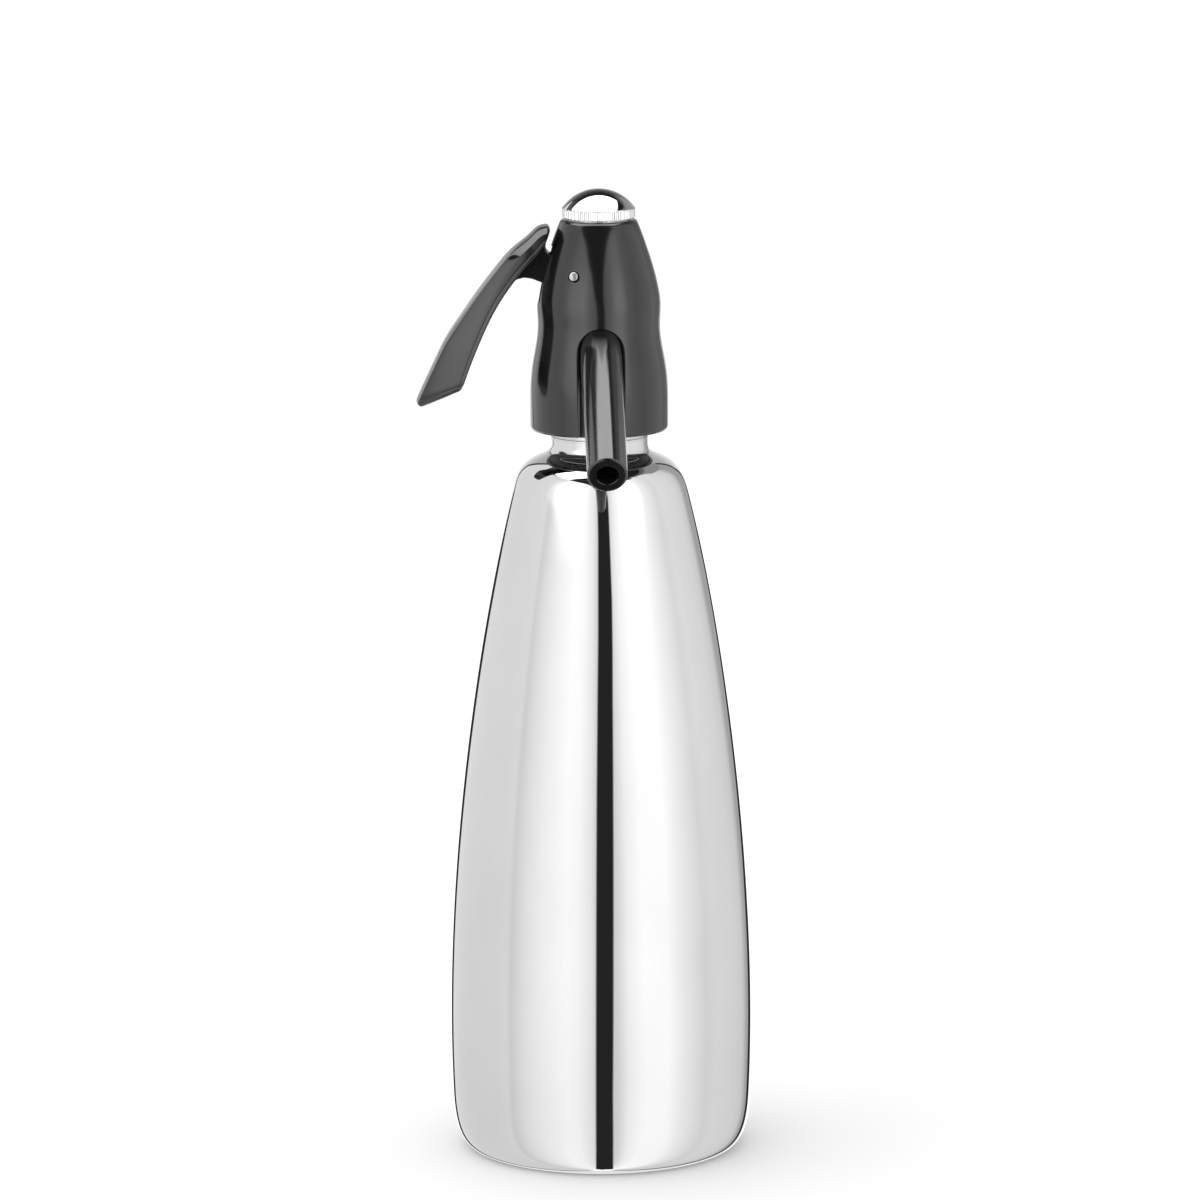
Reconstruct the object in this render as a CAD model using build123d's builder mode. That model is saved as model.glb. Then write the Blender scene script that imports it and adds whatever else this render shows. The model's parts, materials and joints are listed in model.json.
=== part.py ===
from build123d import *
import math
import os

os.makedirs("parts", exist_ok=True)

# Soda siphon, about one litre.  Millimetres, +Z up.  The origin is the centre of
# the flat base, on the bottle's own axis.  The spout points to -Y, the lever to
# -X, and the lever's pivot pin lies along Y.

# ---------------------------------------------------------------- dimensions
shell_t = 1.0            # bottle wall
base_r = 43.0            # flat standing face of the bottle
neck_r = 16.1            # plain collar of the neck
neck_bore_r = 12.0
neck_top = 254.0
neck_thread_root_r = 15.0
neck_thread_crest_r = 15.9
neck_pitch = 3.0

housing_wall = 2.0
housing_bottom = 241.0
housing_top = 310.1
slot_half_w = 5.0        # lever slot in the housing
slot_z0, slot_z1 = 282.5, 301.4
arch_r = 7.8             # spout opening in the housing
arch_z = 268.5

deck_z = 259.2           # underside of the valve body, above the neck
body_r = 17.45
body_top = 286.5
upper_r = 13.8
chamber_r = 6.5
chamber_z0 = 266.0
pocket_r = 7.0

pivot_x, pivot_z = -8.6, 293.2
pivot_r = 1.5

spout_z = 278.95         # where the spout's centre line meets the bottle's axis
spout_drop = 27.3        # degrees below horizontal
spout_root_s = 16.0      # shoulder of the spout, along its own axis
spout_len = 89.35        # tip, along its own axis
spout_root_r = 6.75
spout_tip_r = 6.5
spout_bore_r = 3.5

cap_r = 12.0             # knurled edge of the top cap
cap_z0 = 310.8
cap_z1 = 314.1
cap_dome_R = 14.6
cap_top = 320.1
knurls = 48

# outer meridian of the bottle (radius, height) above its bottom corner
bottle_pts = [
    (base_r, 0.0), (45.85, 2.0), (47.5, 5.0), (48.85, 10.0), (49.6, 16.5),
    (49.95, 25.0), (50.17, 36.0), (50.15, 48.3), (49.92, 58.6), (49.3, 76.0),
    (48.6, 89.2), (47.5, 104.0), (46.06, 119.8), (44.3, 135.0), (42.4, 150.2),
    (39.95, 167.0), (37.2, 183.7), (34.55, 197.1), (32.2, 208.5), (30.4, 216.5),
    (29.3, 221.0), (28.1, 224.7), (26.35, 227.7), (24.0, 230.1), (21.4, 231.7),
    (19.2, 232.5), (17.5, 233.1), (16.5, 234.1), (16.17, 235.5), (16.12, 237.6)]

# outer meridian of the head housing
housing_pts = [
    (21.9, 241.0), (22.45, 241.35), (22.68, 242.3), (22.71, 246.5), (22.7, 252.0),
    (22.45, 257.0), (21.9, 261.7), (21.1, 266.5), (20.35, 270.8), (20.03, 274.5),
    (20.12, 277.6), (20.26, 280.4), (20.17, 283.5), (19.65, 287.3), (18.73, 291.3),
    (17.63, 295.3), (16.28, 299.5), (14.95, 303.4), (13.6, 307.0), (12.75, 309.3),
    (11.8, 310.1)]


def inward(points, d):
    """The same meridian moved inwards by d, point by point along its normals."""
    out = []
    n = len(points)
    for i, (r, z) in enumerate(points):
        r0, z0 = points[max(i - 1, 0)]
        r1, z1 = points[min(i + 1, n - 1)]
        tr, tz = r1 - r0, z1 - z0
        k = math.hypot(tr, tz)
        out.append((r - d * tz / k, z + d * tr / k))
    return out


def ridges(root, crest, z0, count, pitch):
    """Profile points of thread ridges, going up."""
    pts = []
    for i in range(count):
        z = z0 + i * pitch
        pts += [(root, z), (crest, z + 0.36 * pitch), (crest, z + 0.5 * pitch),
                (root, z + 0.86 * pitch)]
    return pts


# ------------------------------------------------------------------- bottle
# drawn steel shell: flat base, tapering wall, rounded shoulder, open lip
bottle_in = inward(bottle_pts, shell_t)
bottle_in = [(base_r - 0.5, shell_t)] + [p for p in bottle_in[1:-1]] + [(neck_r - shell_t + 0.05, 237.6)]
with BuildPart() as bottle_shell:
    with BuildSketch(Plane.XZ):
        with BuildLine():
            Line((0, shell_t), (0, 0))
            Line((0, 0), bottle_pts[0])
            Spline(bottle_pts)
            Line(bottle_pts[-1], bottle_in[-1])
            Spline(bottle_in)
            Line(bottle_in[0], (0, shell_t))
        make_face()
    revolve(axis=Axis.Z)
bottle_shell.part.label = "bottle_shell"
export_step(bottle_shell.part, "parts/bottle_shell.step")

# machined neck, welded into the shell's lip, with the thread the head screws on
neck_turn = ridges(neck_thread_root_r, neck_thread_crest_r, 242.0, 3, neck_pitch)
with BuildPart() as neck_ring:
    with BuildSketch(Plane.XZ):
        with BuildLine():
            Polyline(
                [(neck_bore_r, 228.0), (14.2, 228.0), (15.1, 229.4), (15.1, 237.6),
                 (neck_r, 237.6), (neck_r, 240.3), (neck_r - 0.3, 240.6),
                 (neck_thread_root_r, 240.6)]
                + neck_turn
                + [(neck_thread_root_r, 253.4), (neck_thread_root_r - 0.6, neck_top),
                   (neck_bore_r + 0.4, neck_top), (neck_bore_r, 253.6),
                   (neck_bore_r, 228.0)])
        make_face()
    revolve(axis=Axis.Z)
neck_ring.part.label = "neck_ring"
export_step(neck_ring.part, "parts/neck_ring.step")

# -------------------------------------------------------------- riser group
with BuildPart() as neck_gasket:
    with BuildSketch(Plane.XY.offset(neck_top)):
        Circle(14.8)
        Circle(12.4, mode=Mode.SUBTRACT)
    extrude(amount=1.6)
neck_gasket.part.label = "neck_gasket"
export_step(neck_gasket.part, "parts/neck_gasket.step")

# disc that hangs the riser in the neck, with four gas holes
with BuildPart() as riser_flange:
    with BuildSketch(Plane.XY.offset(neck_top + 1.6)):
        Circle(15.4)
    extrude(amount=2.4)
    with BuildSketch(Plane.XY.offset(neck_top + 1.6)):
        Circle(11.6)
    extrude(amount=-9.0)
    with Locations((0, 0, neck_top + 4.0)):
        Hole(radius=4.03)
    with Locations(Plane.XY.offset(neck_top + 4.0)):
        with PolarLocations(7.8, 4, start_angle=45):
            Hole(radius=1.0)
    chamfer(riser_flange.edges().filter_by(GeomType.CIRCLE).group_by(Axis.Z)[0].sort_by(SortBy.RADIUS)[-1], 0.8)
riser_flange.part.label = "riser_flange"
export_step(riser_flange.part, "parts/riser_flange.step")

# long tube that draws the water from the bottom, notched at its foot
with BuildPart() as riser_tube:
    with BuildSketch(Plane.XY.offset(5.0)):
        Circle(4.0)
        Circle(3.0, mode=Mode.SUBTRACT)
    extrude(amount=258.5)
    with BuildSketch(Plane.XY.offset(5.0)):
        Rectangle(3.0, 9.0)
    extrude(amount=4.0, mode=Mode.SUBTRACT)
riser_tube.part.label = "riser_tube"
export_step(riser_tube.part, "parts/riser_tube.step")

# ---------------------------------------------------------------- head seal
with BuildPart() as head_seal:
    with BuildSketch(Plane.XY.offset(neck_top + 4.0)):
        Circle(15.2)
        Circle(11.4, mode=Mode.SUBTRACT)
    extrude(amount=deck_z - neck_top - 4.0)
head_seal.part.label = "head_seal"
export_step(head_seal.part, "parts/head_seal.step")

# --------------------------------------------------------------- valve body
drop = math.radians(spout_drop)
spout_dir = Vector(0, -math.cos(drop), -math.sin(drop))
spout_org = Vector(0, 0, spout_z)


def spout_plane(s):
    """Plane across the spout's axis, s millimetres out from the bottle's axis."""
    return Plane(origin=spout_org + spout_dir * s, x_dir=(1, 0, 0), z_dir=spout_dir)


with BuildPart() as valve_body:
    # threaded skirt, thick middle, slimmer upper part and chamfered crown
    with BuildSketch(Plane.XZ):
        with BuildLine():
            Polyline([(16.3, 240.9), (20.2, 240.9), (20.2, 255.6), (17.45, 262.2),
                      (body_r, 285.7), (body_r - 0.8, body_top), (upper_r, body_top),
                      (upper_r, 299.8), (11.6, 303.0), (0, 303.0), (0, deck_z),
                      (16.3, deck_z), (16.3, 240.9)])
        make_face()
    revolve(axis=Axis.Z)
    # riser bore, throat, chamber and top pocket on the axis
    with BuildSketch(Plane.XY.offset(deck_z)):
        Circle(4.06)
    extrude(amount=4.8, mode=Mode.SUBTRACT)
    with BuildSketch(Plane.XY.offset(deck_z)):
        Circle(2.8)
    extrude(amount=10.0, mode=Mode.SUBTRACT)
    with BuildSketch(Plane.XY.offset(chamber_z0)):
        Circle(chamber_r)
    extrude(amount=body_top - chamber_z0, mode=Mode.SUBTRACT)
    with BuildSketch(Plane.XY.offset(body_top)):
        Circle(pocket_r)
    extrude(amount=303.0 - body_top, mode=Mode.SUBTRACT)
    # open side for the lever
    with BuildSketch(Plane.XY.offset(body_top)):
        with Locations((-10.0, 0)):
            Rectangle(20.0, 10.6)
    extrude(amount=299.2 - body_top, mode=Mode.SUBTRACT)
    # pivot pin bore
    with BuildSketch(Plane.XZ.offset(-20)):
        with Locations((pivot_x, pivot_z)):
            Circle(pivot_r + 0.02)
    extrude(amount=40, mode=Mode.SUBTRACT)
    # gas channel beside the chamber, and the cross hole that feeds it
    with BuildSketch(Plane.XY.offset(deck_z)):
        with Locations((10.3, 0)):
            Circle(1.1)
    extrude(amount=300.2 - deck_z, mode=Mode.SUBTRACT)
    with BuildSketch(Plane.YZ.offset(5.0)):
        with Locations((0, 299.4)):
            Circle(0.9)
    extrude(amount=5.3, mode=Mode.SUBTRACT)
    # spout port, spigot bore and counterbore
    with BuildSketch(spout_plane(4.0)):
        Circle(2.4)
    extrude(amount=8.0, mode=Mode.SUBTRACT)
    with BuildSketch(spout_plane(9.5)):
        Circle(4.45)
    extrude(amount=10.0, mode=Mode.SUBTRACT)
    with BuildSketch(spout_plane(spout_root_s)):
        Circle(7.05)
    extrude(amount=14.0, mode=Mode.SUBTRACT)
valve_body.part.label = "valve_body"
export_step(valve_body.part, "parts/valve_body.step")

# --------------------------------------------------------- valve internals
with BuildPart() as valve_seat:
    with BuildSketch(Plane.XZ):
        with BuildLine():
            Polyline([(2.3, chamber_z0), (6.4, chamber_z0), (6.4, 268.2), (4.4, 268.2),
                      (3.3, 269.0), (2.7, 269.0), (2.3, 268.6), (2.3, chamber_z0)])
        make_face()
    revolve(axis=Axis.Z)
valve_seat.part.label = "valve_seat"
export_step(valve_seat.part, "parts/valve_seat.step")

with BuildPart() as valve_seal:
    with BuildSketch(Plane.XY.offset(269.05)):
        Circle(4.4)
    extrude(amount=1.55)
    with BuildSketch(Plane.XY.offset(269.6)):
        Circle(1.02)
    extrude(amount=1.0, mode=Mode.SUBTRACT)
valve_seal.part.label = "valve_seal"
export_step(valve_seal.part, "parts/valve_seal.step")

with BuildPart() as valve_stem:
    with BuildSketch(Plane.XZ):
        with BuildLine():
            Polyline([(0, 269.65), (1.0, 269.65), (1.0, 270.6), (4.4, 270.6),
                      (4.4, 271.7), (4.1, 272.0), (1.5, 272.0), (1.5, 291.5),
                      (1.15, 291.5), (1.15, 293.8), (0.85, 294.1), (0, 294.1),
                      (0, 269.65)])
        make_face()
    revolve(axis=Axis.Z)
valve_stem.part.label = "valve_stem"
export_step(valve_stem.part, "parts/valve_stem.step")

with BuildPart() as stem_nut:
    with BuildSketch(Plane.XY.offset(291.55)):
        RegularPolygon(radius=2.75, side_count=6, major_radius=False)
        Circle(1.18, mode=Mode.SUBTRACT)
    extrude(amount=1.8)
stem_nut.part.label = "stem_nut"
export_step(stem_nut.part, "parts/stem_nut.step")

# coil spring that holds the valve shut
with BuildPart() as valve_spring:
    with BuildLine() as coil:
        Helix(pitch=1.62, height=6.48, radius=3.3, center=(0, 0, 272.5))
    with BuildSketch(Plane(origin=coil.line @ 0, z_dir=coil.line % 0)):
        Circle(0.4)
    sweep(path=coil.line, is_frenet=True)
valve_spring.part.label = "valve_spring"
export_step(valve_spring.part, "parts/valve_spring.step")

with BuildPart() as gland_nut:
    with BuildSketch(Plane.XY.offset(280.0)):
        Circle(6.42)
    extrude(amount=4.6)
    with BuildSketch(Plane.XY.offset(284.6)):
        RegularPolygon(radius=5.4, side_count=6, major_radius=False)
    extrude(amount=1.8)
    with BuildSketch(Plane.XY.offset(280.0)):
        Circle(1.58)
    extrude(amount=6.4, mode=Mode.SUBTRACT)
    with BuildSketch(Plane.XY.offset(281.4)):
        Circle(3.0)
    extrude(amount=1.6, mode=Mode.SUBTRACT)
gland_nut.part.label = "gland_nut"
export_step(gland_nut.part, "parts/gland_nut.step")

with BuildPart() as stem_o_ring:
    with BuildSketch(Plane.XZ):
        with Locations((2.28, 282.2)):
            Circle(0.70)
    revolve(axis=Axis.Z)
stem_o_ring.part.label = "stem_o_ring"
export_step(stem_o_ring.part, "parts/stem_o_ring.step")

# -------------------------------------------------------------- gas inlet
inlet_turn = ridges(7.0, 7.6, 312.35, 3, 1.2)
with BuildPart() as gas_inlet:
    with BuildSketch(Plane.XZ):
        with BuildLine():
            Polyline([(0, 297.6), (6.4, 297.6), (6.95, 298.2), (6.95, 303.0),
                      (9.8, 303.0), (9.8, 307.8), (7.0, 307.8)]
                     + inlet_turn
                     + [(7.0, 315.9), (6.7, 316.2), (5.2, 316.2), (4.9, 315.9),
                        (4.9, 309.0), (0, 309.0), (0, 297.6)])
        make_face()
    revolve(axis=Axis.Z)
    # pin socket, check-valve chamber, cross hole
    with BuildSketch(Plane.XY.offset(309.0)):
        Circle(1.62)
    extrude(amount=-4.0, mode=Mode.SUBTRACT)
    with BuildSketch(Plane.XY.offset(305.5)):
        Circle(0.75)
    extrude(amount=-2.5, mode=Mode.SUBTRACT)
    with BuildSketch(Plane.XY.offset(303.9)):
        Circle(1.9)
    extrude(amount=-5.2, mode=Mode.SUBTRACT)
    with BuildSketch(Plane.YZ):
        with Locations((0, 299.4)):
            Circle(0.7)
    extrude(amount=9.0, mode=Mode.SUBTRACT)
gas_inlet.part.label = "gas_inlet"
export_step(gas_inlet.part, "parts/gas_inlet.step")

with BuildPart() as check_ball:
    with Locations((0, 0, 302.1)):
        Sphere(1.5)
check_ball.part.label = "check_ball"
export_step(check_ball.part, "parts/check_ball.step")

with BuildPart() as check_spring:
    with BuildLine() as coil2:
        Helix(pitch=0.68, height=2.04, radius=1.25, center=(0, 0, 298.95))
    with BuildSketch(Plane(origin=coil2.line @ 0, z_dir=coil2.line % 0)):
        Circle(0.14)
    sweep(path=coil2.line, is_frenet=True)
check_spring.part.label = "check_spring"
export_step(check_spring.part, "parts/check_spring.step")

# hollow needle that pierces the cartridge
with BuildPart() as piercing_pin:
    with BuildSketch(Plane.XZ):
        with BuildLine():
            Polyline([(0, 305.2), (1.6, 305.2), (1.6, 309.9), (1.05, 310.3),
                      (1.05, 312.6), (0.0, 315.0), (0, 305.2)])
        make_face()
    revolve(axis=Axis.Z)
    with BuildSketch(Plane.XY.offset(305.2)):
        Circle(0.45)
    extrude(amount=7.6, mode=Mode.SUBTRACT)
    with BuildSketch(Plane.YZ):
        with Locations((0, 312.2)):
            Circle(0.35)
    extrude(amount=3.0, both=True, mode=Mode.SUBTRACT)
piercing_pin.part.label = "piercing_pin"
export_step(piercing_pin.part, "parts/piercing_pin.step")

with BuildPart() as inlet_gasket:
    with BuildSketch(Plane.XY.offset(309.0)):
        Circle(4.85)
        Circle(1.75, mode=Mode.SUBTRACT)
    extrude(amount=1.3)
inlet_gasket.part.label = "inlet_gasket"
export_step(inlet_gasket.part, "parts/inlet_gasket.step")

# ---------------------------------------------------------------- housing
housing_in = inward(housing_pts, housing_wall)
housing_in = [(20.72, 244.0)] + [p for p in housing_in[4:18]]
with BuildPart() as head_housing:
    with BuildSketch(Plane.XZ):
        with BuildLine():
            Line((20.72, housing_bottom), housing_pts[0])
            Spline(housing_pts)
            Line(housing_pts[-1], (8.6, housing_top))
            Line((8.6, housing_top), (8.6, 307.9))
            Line((8.6, 307.9), (11.1, 307.9))
            Line((11.1, 307.9), housing_in[-1])
            Spline(housing_in)
            Line(housing_in[0], (20.72, housing_bottom))
        make_face()
    revolve(axis=Axis.Z)
    # lever slot in the -X side, round at both ends
    with BuildSketch(Plane.YZ.offset(-9.0)):
        with Locations((0, (slot_z0 + slot_z1) / 2)):
            RectangleRounded(2 * slot_half_w, slot_z1 - slot_z0, 2.4)
    extrude(amount=-20, mode=Mode.SUBTRACT)
    # arch for the spout, open at the bottom edge
    with BuildSketch(Plane.XZ.offset(9.0)):
        with BuildLine():
            Line((-7.05, housing_bottom - 2), (-arch_r, arch_z))
            RadiusArc((-arch_r, arch_z), (arch_r, arch_z), arch_r)
            Line((arch_r, arch_z), (7.05, housing_bottom - 2))
            Line((7.05, housing_bottom - 2), (-7.05, housing_bottom - 2))
        make_face()
    extrude(amount=20, mode=Mode.SUBTRACT)
    # the arch follows the spout's slope on the inside
    with BuildSketch(spout_plane(10.0)):
        Circle(7.1)
    extrude(amount=25, mode=Mode.SUBTRACT)
    # holes for the pivot pin
    with BuildSketch(Plane.XZ.offset(-20)):
        with Locations((pivot_x, pivot_z)):
            Circle(pivot_r + 0.3)
    extrude(amount=40, mode=Mode.SUBTRACT)
head_housing.part.label = "head_housing"
export_step(head_housing.part, "parts/head_housing.step")

# ring nut that clamps the housing down on the inlet's flange
with BuildPart() as housing_nut:
    with BuildSketch(Plane.XY.offset(housing_top)):
        Circle(10.3)
        Circle(7.75, mode=Mode.SUBTRACT)
    extrude(amount=2.0)
    with BuildSketch(Plane.XY.offset(housing_top + 1.0)):
        with PolarLocations(10.3, 4):
            Rectangle(2.4, 2.0)
    extrude(amount=1.0, mode=Mode.SUBTRACT)
housing_nut.part.label = "housing_nut"
export_step(housing_nut.part, "parts/housing_nut.step")

# ------------------------------------------------------------------- pin
with BuildPart() as pivot_pin:
    with BuildSketch(Plane.XZ.offset(-16.05)):
        with Locations((pivot_x, pivot_z)):
            Circle(pivot_r)
    extrude(amount=32.1)
    chamfer(pivot_pin.edges().filter_by(GeomType.CIRCLE), 0.3)
pivot_pin.part.label = "pivot_pin"
export_step(pivot_pin.part, "parts/pivot_pin.step")

# ------------------------------------------------------------------ spout
with BuildPart() as spout_tube:
    with BuildSketch(spout_plane(10.0)):
        Circle(4.4)
    extrude(amount=spout_root_s + 0.2 - 10.0)
    with BuildSketch(spout_plane(spout_root_s + 0.05)):
        Circle(spout_root_r)
    with BuildSketch(spout_plane(60.0)):
        Circle(spout_root_r - 0.1)
    loft(ruled=True)
    with BuildSketch(spout_plane(60.0)):
        Circle(spout_root_r - 0.1)
    with BuildSketch(spout_plane(spout_len)):
        Circle(spout_tip_r)
    loft(ruled=True)
    fillet(spout_tube.edges().filter_by(GeomType.CIRCLE).sort_by(Axis.Z)[0], 0.9)
    # groove for the seal ring on the spigot
    with BuildSketch(spout_plane(12.0)):
        Circle(4.6)
        Circle(3.5, mode=Mode.SUBTRACT)
    extrude(amount=1.6, mode=Mode.SUBTRACT)
    with BuildSketch(spout_plane(9.0)):
        Circle(2.4)
    extrude(amount=20.0, mode=Mode.SUBTRACT)
    with BuildSketch(spout_plane(24.0)):
        Circle(spout_bore_r)
    extrude(amount=70.0, mode=Mode.SUBTRACT)
spout_tube.part.label = "spout_tube"
export_step(spout_tube.part, "parts/spout_tube.step")

with BuildPart() as spout_o_ring:
    with BuildSketch(Plane.YZ) as oring_profile:
        with Locations(tuple(spout_org + spout_dir * 12.8 + Vector(0, math.sin(drop), -math.cos(drop)) * 3.98)[1:]):
            Circle(0.45)
    revolve(axis=Axis(spout_org, spout_dir))
spout_o_ring.part.label = "spout_o_ring"
export_step(spout_o_ring.part, "parts/spout_o_ring.step")

# ------------------------------------------------------------------ lever
lever_out = [(-17.6, 308.4), (-19.3, 308.0), (-22.4, 305.5), (-27.3, 301.4),
             (-33.6, 294.3), (-39.8, 286.3), (-45.4, 278.4), (-50.6, 270.6),
             (-54.6, 262.6), (-57.6, 256.3), (-59.88, 251.3)]
lever_in = [(-45.85, 254.9), (-44.5, 257.2), (-42.1, 263.8), (-38.8, 271.8),
            (-35.1, 279.6), (-31.6, 285.5), (-28.4, 290.0), (-24.4, 294.9),
            (-19.6, 300.2), (-17.5, 303.0)]
web = [(-17.2, 304.0), (-17.35, 301.6), (-16.7, 300.1), (-13.0, 298.5),
       (-8.6, 297.7), (-5.8, 295.8), (-4.9, 292.8), (-3.5, 291.2), (0.4, 291.1),
       (2.6, 290.6), (3.9, 289.4), (3.4, 288.3), (1.0, 288.0), (-10.0, 288.0),
       (-14.5, 288.4), (-19.1, 290.0), (-22.0, 291.3), (-24.6, 291.7),
       (-26.9, 291.1), (-28.8, 289.6), (-33.5, 281.8), (-38.0, 283.0),
       (-33.0, 291.5), (-24.0, 301.8), (-19.5, 305.6)]
with BuildPart() as lever:
    # curved handle, seen in the plane of its swing
    with BuildSketch(Plane.XZ):
        with BuildLine():
            Spline(lever_out)
            RadiusArc(lever_out[-1], (-58.75, 249.3), -1.35)
            Line((-58.75, 249.3), lever_in[0])
            Spline(lever_in)
            Line(lever_in[-1], (-15.9, 307.2))
            RadiusArc((-15.9, 307.2), lever_out[0], -1.5)
        make_face()
    extrude(amount=12.0, both=True)
    # plan view: wider towards the free end, with rounded corners there
    with BuildSketch(Plane.XY.offset(240)):
        with BuildLine():
            Polyline([(-14.0, -7.6), (-22.0, -8.2), (-46.0, -10.6), (-57.0, -11.0),
                      (-61.0, -8.6), (-61.0, 8.6), (-57.0, 11.0), (-46.0, 10.6),
                      (-22.0, 8.2), (-14.0, 7.6), (-14.0, -7.6)])
        make_face()
    extrude(amount=80.0, mode=Mode.INTERSECT)
    # hollow underside
    with BuildSketch(Plane.XZ):
        with BuildLine():
            Spline((-21.4, 303.0), (-27.0, 298.0), (-33.0, 291.2), (-39.0, 283.2),
                   (-44.6, 275.2), (-49.4, 267.6), (-52.8, 260.6), (-54.4, 256.8))
            Line((-54.4, 256.8), (-47.2, 259.4))
            Line((-47.2, 259.4), (-40.0, 257.0))
            Line((-40.0, 257.0), (-20.0, 297.0))
            Line((-20.0, 297.0), (-21.4, 303.0))
        make_face()
    extrude(amount=5.9, both=True, mode=Mode.SUBTRACT)
    # web that carries the pivot and the two-pronged finger
    with BuildSketch(Plane.XZ):
        with BuildLine():
            Polyline(web + [web[0]])
        make_face()
    extrude(amount=4.3, both=True)
    with BuildSketch(Plane.XZ):
        with Locations((pivot_x, pivot_z)):
            Circle(pivot_r + 0.06)
    extrude(amount=12.0, both=True, mode=Mode.SUBTRACT)
    with BuildSketch(Plane.XY.offset(286.0)):
        with Locations((3.2, 0)):
            Rectangle(13.6, 3.9)
    extrude(amount=10.0, mode=Mode.SUBTRACT)
lever.part.label = "lever"
export_step(lever.part, "parts/lever.step")

# --------------------------------------------------------------- top cap
dome_z0 = cap_top - cap_dome_R
dome_r = math.sqrt(cap_dome_R ** 2 - (cap_z1 - dome_z0) ** 2)
with BuildPart() as top_cap:
    with BuildSketch(Plane.XZ):
        with BuildLine():
            Polyline([(0, cap_top), (0, 317.0), (7.85, 317.0), (7.85, 312.5),
                      (10.7, 312.5), (10.7, cap_z0), (cap_r - 0.3, cap_z0),
                      (cap_r, cap_z0 + 0.3), (cap_r, cap_z1 - 0.2), (dome_r, cap_z1)])
            ThreePointArc((dome_r, cap_z1),
                          (cap_dome_R * math.sin(math.radians(30)),
                           dome_z0 + cap_dome_R * math.cos(math.radians(30))),
                          (0, cap_top))
        make_face()
    revolve(axis=Axis.Z)
    # serrated edge
    with BuildSketch(Plane.XY.offset(cap_z0 - 0.1)):
        with PolarLocations(cap_r + 0.12, knurls):
            Circle(0.34)
    extrude(amount=cap_z1 - cap_z0 - 0.25, mode=Mode.SUBTRACT)
top_cap.part.label = "top_cap"
export_step(top_cap.part, "parts/top_cap.step")

with BuildPart() as cap_gasket:
    with BuildSketch(Plane.XY.offset(316.25)):
        Circle(7.7)
        Circle(5.2, mode=Mode.SUBTRACT)
    extrude(amount=0.75)
cap_gasket.part.label = "cap_gasket"
export_step(cap_gasket.part, "parts/cap_gasket.step")
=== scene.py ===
import json
import math
import bpy
import bmesh
import numpy as np
from mathutils import Matrix, Vector
from mathutils.geometry import delaunay_2d_cdt


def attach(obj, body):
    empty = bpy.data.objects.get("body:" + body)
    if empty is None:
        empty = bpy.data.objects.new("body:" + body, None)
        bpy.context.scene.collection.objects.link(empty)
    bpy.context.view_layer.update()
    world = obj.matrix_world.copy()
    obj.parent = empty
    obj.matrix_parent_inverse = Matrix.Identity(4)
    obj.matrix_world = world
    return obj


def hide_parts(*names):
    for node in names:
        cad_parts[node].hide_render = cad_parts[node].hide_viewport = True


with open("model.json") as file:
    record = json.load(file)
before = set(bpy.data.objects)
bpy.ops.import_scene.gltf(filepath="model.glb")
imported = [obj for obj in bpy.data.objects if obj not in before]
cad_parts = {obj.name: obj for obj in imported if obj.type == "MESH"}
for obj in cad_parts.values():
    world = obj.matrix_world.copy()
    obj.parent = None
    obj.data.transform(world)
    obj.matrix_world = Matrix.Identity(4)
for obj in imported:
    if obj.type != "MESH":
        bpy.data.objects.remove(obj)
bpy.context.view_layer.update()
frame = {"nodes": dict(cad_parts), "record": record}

MM = 0.001
NODES = frame["nodes"]
SCENE = bpy.context.scene
PI = math.pi


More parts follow.
